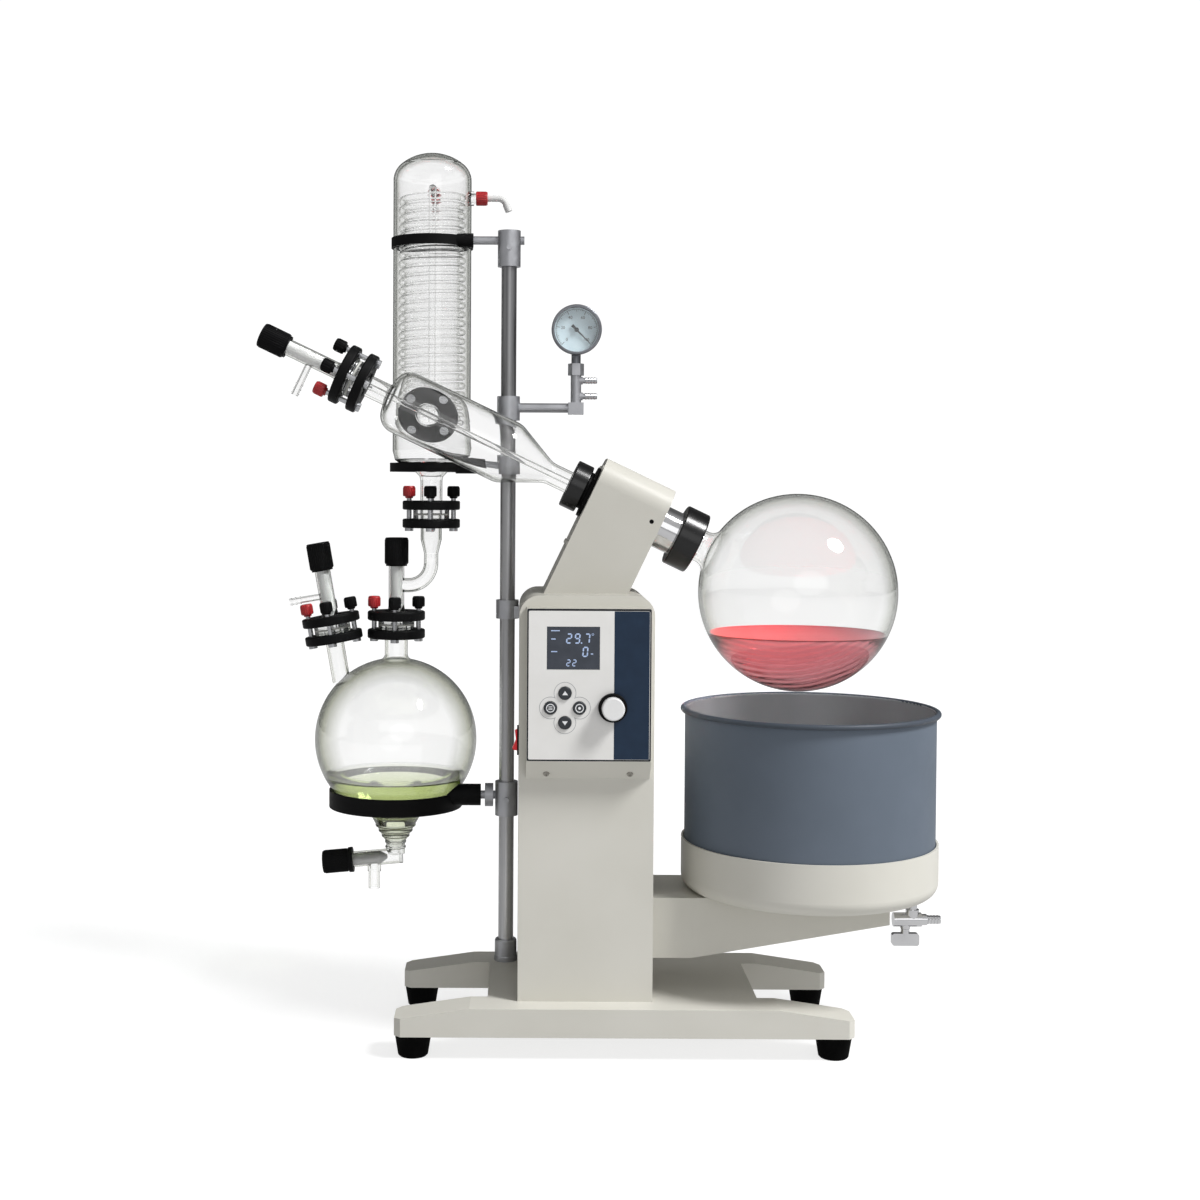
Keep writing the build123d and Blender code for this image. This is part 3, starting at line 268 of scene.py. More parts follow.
def coords(nt, stretch=(1, 1, 1), turn=(0, 0, 0)):
    tc = nt.nodes.new("ShaderNodeTexCoord")
    mp = nt.nodes.new("ShaderNodeMapping")
    mp.inputs["Scale"].default_value = stretch
    mp.inputs["Rotation"].default_value = turn
    nt.links.new(tc.outputs["Object"], mp.inputs["Vector"])
    return mp.outputs["Vector"]


def noise(nt, vec, scale, detail=3.0, rough=0.5):
    n = nt.nodes.new("ShaderNodeTexNoise")
    n.inputs["Scale"].default_value = scale
    n.inputs["Detail"].default_value = detail
    n.inputs["Roughness"].default_value = rough
    nt.links.new(vec, n.inputs["Vector"])
    return n.outputs["Fac"]


def ramp(nt, fac, stops):
    r = nt.nodes.new("ShaderNodeValToRGB")
    r.color_ramp.elements[0].position, r.color_ramp.elements[0].color = stops[0]
    r.color_ramp.elements[1].position, r.color_ramp.elements[1].color = stops[-1]
    for p, c in stops[1:-1]:
        e = r.color_ramp.elements.new(p)
        e.color = c
    nt.links.new(fac, r.inputs["Fac"])
    return r.outputs["Color"]


def span(nt, fac, lo, hi):
    m = nt.nodes.new("ShaderNodeMapRange")
    m.inputs["From Min"].default_value = 0.25
    m.inputs["From Max"].default_value = 0.75
    m.inputs["To Min"].default_value = lo
    m.inputs["To Max"].default_value = hi
    nt.links.new(fac, m.inputs["Value"])
    return m.outputs["Result"]


def bump(nt, b, height, strength, distance, under=None):
    n = nt.nodes.new("ShaderNodeBump")
    n.inputs["Strength"].default_value = strength
    n.inputs["Distance"].default_value = distance
    nt.links.new(height, n.inputs["Height"])
    if under is not None:
        nt.links.new(under, n.inputs["Normal"])
    if b is not None:
        nt.links.new(n.outputs["Normal"], b.inputs["Normal"])
    return n.outputs["Normal"]


def finish(name, low, high, scale=18.0, rough=(0.35, 0.45), rscale=60.0, metal=0.0, spec=0.5, coat=0.0, coat_rough=0.1,
           grain=0.0, grain_scale=1500.0, grain_dist=0.00005, stretch=(1, 1, 1), rstretch=None, detail=3.0):
    m, nt, b, _ = shader(name)
    vec = coords(nt, stretch)
    nt.links.new(ramp(nt, noise(nt, vec, scale, detail), [(0.3, low), (0.7, high)]), b.inputs["Base Color"])
    rvec = coords(nt, rstretch or stretch)
    nt.links.new(span(nt, noise(nt, rvec, rscale, 4.0, 0.6), *rough), b.inputs["Roughness"])
    b.inputs["Metallic"].default_value = metal
    b.inputs["Specular IOR Level"].default_value = spec
    b.inputs["Coat Weight"].default_value = coat
    b.inputs["Coat Roughness"].default_value = coat_rough
    if grain:
        bump(nt, b, noise(nt, rvec, grain_scale, 2.0, 0.5), grain, grain_dist)
    return m


def glass(name, tint, density, ior=1.47, wave=0.05, rim=None, mid=(0.6, 0.61, 0.57, 1)):
    """Clear glass with absorption; rim holds the facing values where the painted edge shade starts, is grey, is dark.
    """
    m, nt, b, out = shader(name)
    b.inputs["Base Color"].default_value = (1, 1, 1, 1)
    # painted shade: the transmission colour darkens towards the silhouette
    if rim:
        lw = nt.nodes.new("ShaderNodeLayerWeight")
        lw.inputs["Blend"].default_value = 0.5
        nt.links.new(ramp(nt, lw.outputs["Facing"], [(rim[0], (1, 1, 1, 1)), (rim[1], mid), (rim[2], (0.045, 0.05, 0.042, 1))]), b.inputs["Base Color"])
    b.inputs["Roughness"].default_value = 0.0
    b.inputs["IOR"].default_value = ior
    b.inputs["Transmission Weight"].default_value = 1.0
    if wave:
        bump(nt, b, noise(nt, coords(nt), 28.0, 1.5, 0.4), wave, 0.002)
    lp = nt.nodes.new("ShaderNodeLightPath")
    tr = nt.nodes.new("ShaderNodeBsdfTransparent")
    tr.inputs["Color"].default_value = (0.95, 0.96, 0.955, 1)
    mix = nt.nodes.new("ShaderNodeMixShader")
    nt.links.new(lp.outputs["Is Shadow Ray"], mix.inputs["Fac"])
    nt.links.new(b.outputs["BSDF"], mix.inputs[1])
    nt.links.new(tr.outputs["BSDF"], mix.inputs[2])
    nt.links.new(mix.outputs["Shader"], out.inputs["Surface"])
    va = nt.nodes.new("ShaderNodeVolumeAbsorption")
    va.inputs["Color"].default_value = tint
    va.inputs["Density"].default_value = density
    nt.links.new(va.outputs["Volume"], out.inputs["Volume"])
    return m, nt, b


def paint_like(name, low, high, rough=(0.36, 0.46)):
    """Powder coat: faint tone drift, fine orange peel under a soft sheen."""
    m, nt, b, _ = shader(name)
    vec = coords(nt)
    nt.links.new(ramp(nt, noise(nt, vec, 9.0, 3.0), [(0.3, low), (0.7, high)]), b.inputs["Base Color"])
    nt.links.new(span(nt, noise(nt, vec, 45.0, 4.0, 0.6), *rough), b.inputs["Roughness"])
    b.inputs["Specular IOR Level"].default_value = 0.28
    peel = bump(nt, None, noise(nt, vec, 420.0, 2.0, 0.5), 0.09, 0.0002)
    bump(nt, b, noise(nt, vec, 1900.0, 2.0, 0.6), 0.05, 0.00008, peel)
    return m


M = {}
M["paint"] = paint_like("cream_powder_coat", lin(210, 208, 199), lin(216, 214, 206))
# head housing: a darker copy of the cream coat, painted shade
M["head_painted_shade"] = paint_like("cream_powder_coat_head_painted_shade", lin(197, 195, 186), lin(203, 201, 193))
# top faces of column and cover: a darker copy of the cream coat, painted shade
M["paint_top"] = paint_like("cream_powder_coat_top_painted_shade", lin(178, 176, 167), lin(186, 184, 176))
M["enamel"] = paint_like("grey_blue_coat", lin(95, 105, 117), lin(102, 112, 125), (0.5, 0.62))
# pot rim: a darker copy of the blue-grey coat, painted shade
M["pot_rim"] = paint_like("grey_blue_rim_painted_shade", lin(66, 73, 82), lin(74, 81, 91), (0.42, 0.54))
M["pot_inside"] = paint_like("grey_lining_painted_shade", lin(188, 191, 195), lin(196, 199, 203), (0.45, 0.6))
# the lining's colour is multiplied by a ramp across X: painted light on the right wall, painted shade darkest at the
# left
nt = M["pot_inside"].node_tree
b = next(n for n in nt.nodes if n.type == "BSDF_PRINCIPLED")
sep = nt.nodes.new("ShaderNodeSeparateXYZ")
nt.links.new(coords(nt), sep.inputs["Vector"])
painted_shade_across = nt.nodes.new("ShaderNodeMapRange")
painted_shade_across.inputs["From Min"].default_value = 0.1
painted_shade_across.inputs["From Max"].default_value = 0.38
nt.links.new(sep.outputs["X"], painted_shade_across.inputs["Value"])
mix = nt.nodes.new("ShaderNodeMix")
mix.data_type = "RGBA"
mix.blend_type = "MULTIPLY"
mix.inputs[0].default_value = 1.0
nt.links.new(b.inputs["Base Color"].links[0].from_socket, mix.inputs[6])
nt.links.new(ramp(nt, painted_shade_across.outputs["Result"], [(0.0, (0.19, 0.19, 0.19, 1)), (0.5, (0.38, 0.38, 0.38, 1)), (0.92, (0.95, 0.95, 0.95, 1))]), mix.inputs[7])
nt.links.new(mix.outputs[2], b.inputs["Base Color"])
M["black"] = finish("black_moulded", lin(8, 8, 9), lin(14, 14, 15), 40, (0.45, 0.58), 130, spec=0.1, grain=0.22, grain_scale=2600)
M["black_gloss"] = finish("black_turned", lin(3, 3, 4), lin(7, 7, 8), 30, (0.2, 0.28), 90, spec=0.5, grain=0.06, grain_scale=900)
M["rubber"] = finish("black_rubber", lin(2, 2, 2), lin(5, 5, 5), 60, (0.65, 0.8), 200, spec=0.06, grain=0.35, grain_scale=1800)
M["red"] = finish("red_moulded", lin(160, 26, 32), lin(182, 38, 42), 60, (0.3, 0.42), 160, grain=0.12, grain_scale=2200)
M["ptfe"] = finish("white_fluoropolymer", lin(204, 204, 203), lin(218, 218, 217), 35, (0.4, 0.52), 90, spec=0.35, grain=0.1, grain_scale=700)
M["white"] = finish("white_moulded", lin(232, 232, 232), lin(241, 241, 241), 40, (0.28, 0.36), 120, grain=0.06, grain_scale=2400)
M["silicone"] = finish("pale_silicone", lin(206, 206, 200), lin(220, 220, 214), 50, (0.5, 0.6), 140, grain=0.1)
M["steel"] = finish("ground_steel", lin(176, 177, 180), lin(198, 199, 202), 14, (0.2, 0.34), 500, metal=1.0, grain=0.12, grain_scale=900, grain_dist=0.00003, rstretch=(0.15, 0.15, 3.0))
M["pole"] = finish("pole_steel_painted_light", lin(212, 212, 213), lin(222, 222, 223), 12, (0.3, 0.42), 500, metal=1.0, grain=0.1, grain_scale=800, grain_dist=0.00003, rstretch=(2.5, 2.5, 0.05))
# the pole's colour is multiplied by a height ramp, painted light low down and painted shade higher up, and by vertical
# streaks, partly drawn grain and partly painted reflection
nt = M["pole"].node_tree
b = next(n for n in nt.nodes if n.type == "BSDF_PRINCIPLED")
sep = nt.nodes.new("ShaderNodeSeparateXYZ")
nt.links.new(coords(nt), sep.inputs["Vector"])
up = nt.nodes.new("ShaderNodeMapRange")
up.inputs["From Min"].default_value = 0.1
up.inputs["From Max"].default_value = 0.75
nt.links.new(sep.outputs["Z"], up.inputs["Value"])
mix = nt.nodes.new("ShaderNodeMix")
mix.data_type = "RGBA"
mix.blend_type = "MULTIPLY"
mix.inputs[0].default_value = 1.0
nt.links.new(b.inputs["Base Color"].links[0].from_socket, mix.inputs[6])
nt.links.new(ramp(nt, up.outputs["Result"], [(0.0, (1, 1, 1, 1)), (1.0, (0.42, 0.42, 0.425, 1))]), mix.inputs[7])
grain_and_painted_streaks = nt.nodes.new("ShaderNodeMix")
grain_and_painted_streaks.data_type = "RGBA"
grain_and_painted_streaks.blend_type = "MULTIPLY"
grain_and_painted_streaks.inputs[0].default_value = 1.0
nt.links.new(mix.outputs[2], grain_and_painted_streaks.inputs[6])
nt.links.new(ramp(nt, noise(nt, coords(nt, (1, 1, 0.01)), 260.0, 1.0), [(0.38, (0.7, 0.7, 0.71, 1)), (0.6, (1.0, 1.0, 1.0, 1))]), grain_and_painted_streaks.inputs[7])
nt.links.new(grain_and_painted_streaks.outputs[2], b.inputs["Base Color"])
M["chrome"] = finish("polished_plate", lin(214, 214, 216), lin(226, 226, 228), 25, (0.06, 0.12), 160, metal=1.0, grain=0.03, grain_scale=350, grain_dist=0.00003)
M["zinc"] = finish("satin_cast_metal", lin(166, 167, 171), lin(184, 185, 189), 45, (0.36, 0.5), 180, metal=1.0, grain=0.2, grain_scale=1300)
M["gauge_ring"] = finish("grey_ring", lin(108, 110, 115), lin(126, 128, 133), 50, (0.3, 0.4), 220, metal=1.0, grain=0.08, grain_scale=900)
M["dark_steel"] = finish("dull_steel", lin(92, 86, 82), lin(120, 112, 106), 50, (0.45, 0.6), 200, metal=1.0, grain=0.2, grain_scale=900)
# screws on the chin: a darker copy of the coated screw, painted shade
M["chin_screw"] = finish("coated_screw_painted_shade", lin(150, 147, 139), lin(164, 161, 153), 120, (0.36, 0.48), 400, metal=0.2, grain=0.1)
M["paint_screw"] = finish("coated_screw", lin(184, 182, 174), lin(198, 196, 188), 120, (0.34, 0.46), 400, metal=0.35, grain=0.1)
M["nylon"] = finish("nylon_gear", lin(214, 209, 190), lin(228, 223, 206), 60, (0.4, 0.5), 160, grain=0.1)
M["pcb"] = finish("green_board", lin(24, 78, 48), lin(34, 96, 60), 160, (0.3, 0.45), 300, grain=0.15)
M["panel"] = finish("panel_film", lin(231, 230, 227), lin(236, 235, 233), 30, (0.3, 0.38), 200, spec=0.45, grain=0.05, grain_scale=3000)
M["navy"] = finish("navy_print", lin(19, 39, 61), lin(24, 45, 68), 60, (0.34, 0.42), 250, spec=0.3, grain=0.05, grain_scale=3000)
M["gasket"] = finish("dark_gasket", lin(34, 36, 40), lin(44, 46, 50), 120, (0.5, 0.6), 300, spec=0.2)
M["fine_line"] = finish("grey_print", lin(150, 152, 154), lin(170, 172, 174), 150, (0.4, 0.5), 300)
M["key"] = finish("key_dark", lin(32, 36, 41), lin(44, 48, 53), 120, (0.35, 0.45), 300, grain=0.1)
M["key_mark"] = finish("key_white", lin(228, 230, 232), lin(240, 241, 242), 120, (0.4, 0.5), 300)
M["display"] = finish("display_glass", lin(56, 61, 70), lin(66, 71, 81), 60, (0.1, 0.16), 120, spec=0.4, coat=0.2)
M["dial"] = finish("dial_face", lin(192, 210, 218), lin(203, 220, 227), 70, (0.45, 0.55), 200)
M["ink"] = finish("dial_ink", lin(28, 34, 40), lin(40, 46, 52), 200, (0.5, 0.6), 300)
M["glass"], _, _ = glass("borosilicate", (0.10, 0.13, 0.08, 1), 18.0, wave=0.02, rim=(0.5, 0.73, 0.86))
M["glass_receiver"], _, _ = glass("borosilicate_receiver", (0.10, 0.13, 0.08, 1), 24.0, wave=0.02, rim=(0.28, 0.62, 0.82), mid=(0.47, 0.48, 0.4, 1))
M["glass_thin"], _, _ = glass("borosilicate_tube", (0.10, 0.13, 0.10, 1), 8.0, wave=0.0, rim=(0.3, 0.45, 0.64))
M["glass_coil"], _, _ = glass("borosilicate_coil", (0.3, 0.32, 0.31, 1), 14.0, ior=1.14, wave=0.0, rim=(0.58, 0.78, 0.92))
M["glass_clear"], _, _ = glass("borosilicate_jacket", (0.10, 0.12, 0.10, 1), 6.0, wave=0.0, rim=(0.48, 0.62, 0.76))
M["lens"], _, _ = glass("gauge_glass", (0.7, 0.75, 0.75, 1), 15.0, wave=0.0)
# red rocker: the emission is a painted glow that brightens the red
m, nt, b, _ = shader("rocker_red_painted_glow")
nt.links.new(ramp(nt, noise(nt, coords(nt), 120.0), [(0.3, lin(176, 22, 30)), (0.7, lin(196, 32, 40))]), b.inputs["Base Color"])
nt.links.new(span(nt, noise(nt, coords(nt), 300.0), 0.22, 0.32), b.inputs["Roughness"])
b.inputs["Emission Color"].default_value = lin(190, 24, 32)
b.inputs["Emission Strength"].default_value = 0.45
M["rocker"] = m

# soft glow of the display segments
m, nt, b, _ = shader("lit_segment")
nt.links.new(ramp(nt, noise(nt, coords(nt), 300.0), [(0.2, lin(150, 170, 206)), (0.8, lin(186, 200, 226))]), b.inputs["Base Color"])
b.inputs["Roughness"].default_value = 0.4
b.inputs["Emission Color"].default_value = lin(160, 186, 232)
b.inputs["Emission Strength"].default_value = 0.2
M["segment"] = m

# liquids
m, nt, b = glass("rose_liquid_painted_shade", (0.88, 0.10, 0.16, 1), 4.5, ior=1.345, wave=0.0)
mp = nt.nodes.new("ShaderNodeMapping")
mp.inputs["Location"].default_value = P(290.0, 0.0, 610.0) * -1
tc = nt.nodes.new("ShaderNodeTexCoord")
nt.links.new(tc.outputs["Object"], mp.inputs["Vector"])
wv = nt.nodes.new("ShaderNodeTexWave")
wv.wave_type = "RINGS"
wv.rings_direction = "Y"
wv.inputs["Scale"].default_value = 46.0
wv.inputs["Distortion"].default_value = 1.2
wv.inputs["Detail"].default_value = 1.0
wv.inputs["Detail Scale"].default_value = 0.6
nt.links.new(mp.outputs["Vector"], wv.inputs["Vector"])
bump(nt, b, wv.outputs["Fac"], 0.1, 0.004)
# the liquid's colour ramps over height minus X: painted light at the upper left, painted shade to the right and at the
# bottom
sep = nt.nodes.new("ShaderNodeSeparateXYZ")
nt.links.new(tc.outputs["Object"], sep.inputs["Vector"])
painted_shade_depth = nt.nodes.new("ShaderNodeMapRange")
painted_shade_depth.inputs["From Min"].default_value = 0.392
painted_shade_depth.inputs["From Max"].default_value = 0.452
nt.links.new(sep.outputs["Z"], painted_shade_depth.inputs["Value"])
painted_shade_across = nt.nodes.new("ShaderNodeMapRange")
painted_shade_across.inputs["From Min"].default_value = 0.13
painted_shade_across.inputs["From Max"].default_value = 0.32
painted_shade_across.inputs["To Max"].default_value = 0.75
nt.links.new(sep.outputs["X"], painted_shade_across.inputs["Value"])
painted_shade_slope = nt.nodes.new("ShaderNodeMath")
painted_shade_slope.operation = "SUBTRACT"
nt.links.new(painted_shade_depth.outputs["Result"], painted_shade_slope.inputs[0])
nt.links.new(painted_shade_across.outputs["Result"], painted_shade_slope.inputs[1])
nt.links.new(ramp(nt, painted_shade_slope.outputs["Value"], [(0.0, (0.54, 0.46, 0.48, 1)), (0.35, (0.74, 0.42, 0.45, 1)), (0.85, (0.98, 0.36, 0.38, 1))]), b.inputs["Base Color"])
M["rose"] = m
# surface film, its colour darker towards the right: painted shade
m, nt, b, _ = shader("rose_surface_painted_shade")
sep = nt.nodes.new("ShaderNodeSeparateXYZ")
nt.links.new(coords(nt), sep.inputs["Vector"])
painted_shade_across = nt.nodes.new("ShaderNodeMapRange")
painted_shade_across.inputs["From Min"].default_value = 0.13
painted_shade_across.inputs["From Max"].default_value = 0.32
nt.links.new(sep.outputs["X"], painted_shade_across.inputs["Value"])
nt.links.new(ramp(nt, painted_shade_across.outputs["Result"], [(0.05, lin(244, 84, 88)), (0.4, lin(216, 66, 73)), (0.8, lin(168, 70, 78)), (1.0, lin(150, 96, 104))]), b.inputs["Base Color"])
b.inputs["Roughness"].default_value = 0.35
b.inputs["Specular IOR Level"].default_value = 0.12
b.inputs["Transmission Weight"].default_value = 0.3
b.inputs["IOR"].default_value = 1.1
M["rose_top"] = m
m, nt, b = glass("pale_green_liquid", (0.62, 0.74, 0.08, 1), 9.0, ior=1.34, wave=0.0)
bump(nt, b, noise(nt, coords(nt), 60.0, 2.0, 0.5), 0.05, 0.002)
M["green"] = m

USE = {
    "paint": "base_frame column_casing column_rear_cover control_cover bath_base bath_arm",
    "head_painted_shade": "head_housing head_end_cover",
    "rubber": "rubber_feet",
    "paint_screw": "cover_screws",
    "black": "power_inlet switch_frame flange_plates flange_knobs glass_clamps seal_carrier",
    "black_gloss": "duct_nut flask_nut",
    "panel": "control_panel",
    "display": "display_window",
    "pcb": "control_board",
    "steel": "shaft_bearings flange_studs lift_frame lift_screw drive_pinion",
    "gauge_ring": "gauge_case",
    "zinc": "pole_clamps motors gauge_manifold",
    "pole": "support_pole",
    "chrome": "hollow_shaft drain_valve drain_handle",
    "dark_steel": "bath_heater",
    "nylon": "drive_gear",
    "glass": "evaporating_flask",
    "glass_receiver": "receiving_flask",
    "glass_clear": "vapour_duct condenser_jacket",
    "glass_thin": "valve_bodies condenser_coil vapour_tube drop_tube",
    "lens": "gauge_lens",
    "red": "red_caps",
    "silicone": "seals",
    "ptfe": "water_nozzles",
    "enamel": "bath_pot",
    "key": "button_up button_down button_left button_right",
    "rocker": "rocker_switch",
    "ink": "gauge_needle",
}
for key, names in USE.items():
    for n in names.split():
        o = nodes[n]
        o.data.materials.clear()
        o.data.materials.append(M[key])

# two-part pieces: a white spindle in a black knob, a white cap on a black skirt
for n, fr in (("feed_valve_stem", FEED), ("vent_valve_stem", VENT), ("inlet_valve_stem", INLET), ("drain_valve_stem", DRAIN)):
    me = nodes[n].data
    me.materials.clear()
    me.materials.append(M["black"])
    me.materials.append(M["ptfe"])
    inv = fr.inverted()
    top = {"feed_valve_stem": 82.5, "drain_valve_stem": 51.0}.get(n, 71.4) + 23.0
    for p in me.polygons:
        q = inv @ p.center
        p.material_index = 1 if math.hypot(q.x, q.y) < 7.7 and q.z < top else 0
me = nodes["cover_screws"].data
me.materials.append(M["black"])
me.materials.append(M["chin_screw"])
plug = P(*on_axis(191.5, 0.0, -46.0))
# the black dot at the plug; the front screws on the chin take the painted shade copy; the rest the coated screw
for p in me.polygons:
    p.material_index = 1 if (p.center - plug).length < 0.014 else 2 if p.center.y * 1000 + OY < -80 else 0
me = nodes["speed_knob"].data
me.materials.clear()
me.materials.append(M["black"])
me.materials.append(M["white"])
for p in me.polygons:
    p.material_index = 1 if p.center.y * 1000 + OY < -111.99 and p.center.y * 1000 + OY < -112.3 else 0

# upward faces near the top of the column and the cover take the painted shade copy
for name in ("column_casing", "control_cover"):
    me = nodes[name].data
    me.materials.append(M["paint_top"])
    for p in me.polygons:
        p.material_index = 1 if p.normal.z > 0.3 and p.center.z > 0.47 else 0
me = nodes["bath_pot"].data
me.materials.append(M["pot_inside"])
me.materials.append(M["pot_rim"])
axis = P(343.0, 0.0, 0.0)
for p in me.polygons:
    out_ = Vector((p.center.x - axis.x, p.center.y - axis.y, 0))
    wall = out_.length < 0.1405 and p.normal.dot(out_.normalized()) < -0.6
    deck = p.normal.z > 0.7 and p.center.z < 0.2
    # rim top: the painted shade copy; inner wall and deck: the lining
    p.material_index = 2 if p.center.z > 0.3655 and not wall else 1 if wall or deck else 0

# ------------------------------------------------------------------ condenser coil: hollow tube on the same helix
COIL_R, COIL_T, PITCH, Z0, TURNS = 36.6, 4.5, 10.8, 700.0, 25
pts = [(COND_X + 0.01, COND_Y, Z0), (COND_X + COIL_R * 0.55, COND_Y, Z0)]
for k in range(TURNS * 40 + 1):
    a = 2 * math.pi * k / 40
    pts.append((COND_X + COIL_R * math.cos(a), COND_Y + COIL_R * math.sin(a), Z0 + PITCH * k / 40))
pts += [(COND_X + COIL_R + 6 * k, COND_Y, Z0 + PITCH * TURNS) for k in (1, 2, 3)]
coil = tube(pts, COIL_T, 3.3, 16)
riser = tube([(COND_X, COND_Y, Z0 - 2 + 10 * k) for k in range(28)] + [(COND_X, COND_Y, 979.0), (COND_X, COND_Y + 3, 983.0), (COND_X, COND_Y + 8, 983.0), (COND_X, COND_Y + 58, 983.0)], COIL_T, 3.3, 20)
coil_o = piece("condenser_coil_tube", [(W, *coil), (W, *riser)], M["glass_coil"], "frame", 50)
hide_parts("condenser_coil")

# ------------------------------------------------------------------ liquids
def ball_liquid(centre, r, level, below=(), n=40, meniscus=1.6):
    """Outline of liquid standing in a ball, level below the centre, with a raised edge against the glass."""
    a0 = math.asin(level / r)
    edge_r = r * math.cos(a0)
    prof = [(0, level)]
    for k in range(1, 10):
        prof.append((edge_r * (0.94 * k / 9), level))
    am = math.asin((level + meniscus) / r)
    prof += [(edge_r - 2.2, level + 0.25 * meniscus), (edge_r - 0.9, level + 0.6 * meniscus), (r * math.cos(am), level + meniscus)]
    end = -math.pi / 2 if not below else -math.acos(below[0][0] / r)
    for k in range(1, n + 1):
        a = am + (end - am) * k / n
        prof.append((max(r * math.cos(a), 0.0) if k < n or below else 0.0, r * math.sin(a)))
    prof += list(below[1:]) if below else []
    m = at(centre, (0, 0, 1), (1, 0, 0))
    return m, prof


BALL, BALL_R, LEVEL = on_axis(3.0), 110.4, -47.0
m, prof = ball_liquid(BALL, BALL_R, LEVEL, meniscus=0.8)
o = piece("flask_liquid", [(m, *lathe(prof, 128))], M["rose"], "frame", 60)
o.visible_shadow = False
edge = math.sqrt(BALL_R ** 2 - LEVEL ** 2)
film = [(r, LEVEL + z) for r, z in ((0, 0.1), (edge - 2.6, 0.1), (edge - 1.2, 0.5), (edge - 0.7, 1.0), (edge - 1.0, 1.4), (edge - 1.8, 0.9), (edge - 2.8, 0.6), (0, 0.6))]
o = piece("flask_liquid_surface", [(m, *lathe(film, 128))], M["rose_top"], "frame", 60)
o.visible_shadow = False
m, prof = ball_liquid(RECV, 96.5, -45.0, [(28.6, 0), (27.6, -94.0), (13.0, -120.2), (6.2, -127.2), (6.2, -134.0), (0, -134.0)])
piece("receiver_liquid", [(m, *lathe(prof, 128))], M["green"], "frame", 60)
rings = []
for z, r in ((-106.0, 23.6), (-112.5, 19.9), (-119.0, 16.1), (-126.5, 12.0), (-133.0, 11.6)):
    rings.append((m, *lathe([(r - 0.6 + 1.7 * math.cos(2 * math.pi * k / 16), z + 1.7 * math.sin(2 * math.pi * k / 16)) for k in range(16)], 72)))
piece("outlet_rings", rings, M["glass_thin"], "frame", 60)

# ------------------------------------------------------------------ control panel print
Y0 = 105.5
PX0, PX1, PZ0, PZ1 = 21.0, 152.0, 327.0, 488.0
outer = soft(rect(PX0 - 1.6, PZ0 - 1.7, PX1 + 1.6, PZ1 + 2.2), {0: 1.6, 1: 1.6, 2: 1.6, 3: 1.6}, 4)
inner = soft(rect(PX0 + 0.02, PZ0 + 0.02, PX1 - 0.02, PZ1 - 0.02), {0: 1.5, 1: 1.5, 2: 1.5, 3: 1.5}, 4)
# dark band round the panel edge
piece("panel_border", [(FRONT, *plate(outer, Y0 - 1.52, Y0 - 0.2, [inner]))], M["gasket"], "frame", 30)
SX = 113.5
notch = [(x, z) for x, z in circle(112.0, 383.7, 4.6, 24, math.pi / 2, -math.pi / 2, True) if x > SX]
stripe = [(SX, PZ1 - 0.3), (SX, notch[0][1])] + notch + [(SX, notch[-1][1]), (SX, PZ0 + 0.3), (PX1 - 0.4, PZ0 + 0.3), (PX1 - 0.4, PZ1 - 0.3)]
piece("panel_stripe", [(FRONT, *plate(stripe, Y0 - 0.05, Y0 + 0.1))], M["navy"], "frame", 30)

KEYS = {"up": (60.5, 399.0), "left": (44.8, 383.0), "right": (76.2, 383.0), "down": (60.5, 367.0)}


def lobes(r):
    """Outline round the four keys: four arcs that meet on the diagonals."""
    out = []
    order = ["right", "up", "left", "down"]
    for i, k in enumerate(order):
        cx, cz = KEYS[k]
        px, pz = KEYS[order[i - 1]]
        nx, nz = KEYS[order[(i + 1) % 4]]
        ends = []
        for ox_, oz_ in ((px, pz), (nx, nz)):
            d = math.hypot(ox_ - cx, oz_ - cz)
            a = math.atan2(oz_ - cz, ox_ - cx)
            h = math.acos(d / 2 / r)
            ends.append((a + h, a - h))
        a0, a1 = ends[0][0], ends[1][1]
        while a1 < a0:
            a1 += 2 * math.pi
        while a1 - a0 > 2 * math.pi:
            a1 -= 2 * math.pi
        out += circle(cx, cz, r, 28, a0, a1, True)[:-1]
    return out


piece("key_outline", [(FRONT, *plate(lobes(12.1), Y0 - 0.05, Y0 + 0.12, [lobes(11.6)]))], M["fine_line"], "frame", 30)

KF = 107.6
tri = lambda cx, cz, s: [(cx - 3.1, cz - 1.9 * s), (cx + 3.1, cz - 1.9 * s), (cx, cz + 2.7 * s)]
piece("key_mark_up", [(FRONT, *plate(tri(*KEYS["up"], 1)[:], KF - 0.05, KF + 0.1))], M["key_mark"], "key_up", 30)
piece("key_mark_down", [(FRONT, *plate(tri(*KEYS["down"], -1)[::-1], KF - 0.05, KF + 0.1))], M["key_mark"], "key_down", 30)
kx, kz = KEYS["right"]
piece("key_mark_right", [(FRONT, *plate(circle(kx, kz, 4.7, 40), KF - 0.05, KF + 0.1, [circle(kx, kz, 3.7, 40)])),
                         (FRONT, *plate(circle(kx, kz, 1.5, 20), KF - 0.05, KF + 0.1))], M["key_mark"], "key_right", 30)
kx, kz = KEYS["left"]
bars = [(FRONT, *plate(soft(rect(kx - 2.3, kz + d - 0.35, kx + 2.3, kz + d + 0.35), {0: 0.3, 1: 0.3, 2: 0.3, 3: 0.3}, 3), KF - 0.05, KF + 0.1)) for d in (-1.5, 0.0, 1.5)]
piece("key_mark_left", [(FRONT, *plate(circle(kx, kz, 4.7, 40), KF - 0.05, KF + 0.1, [circle(kx, kz, 3.7, 40)]))] + bars, M["key_mark"], "key_left", 30)

# seven-segment figures
SEG = {"0": "abcdef", "1": "bc", "2": "abged", "3": "abgcd", "4": "fgbc", "5": "afgcd", "6": "afgedc", "7": "abc", "8": "abcdefg", "9": "abcdfg"}


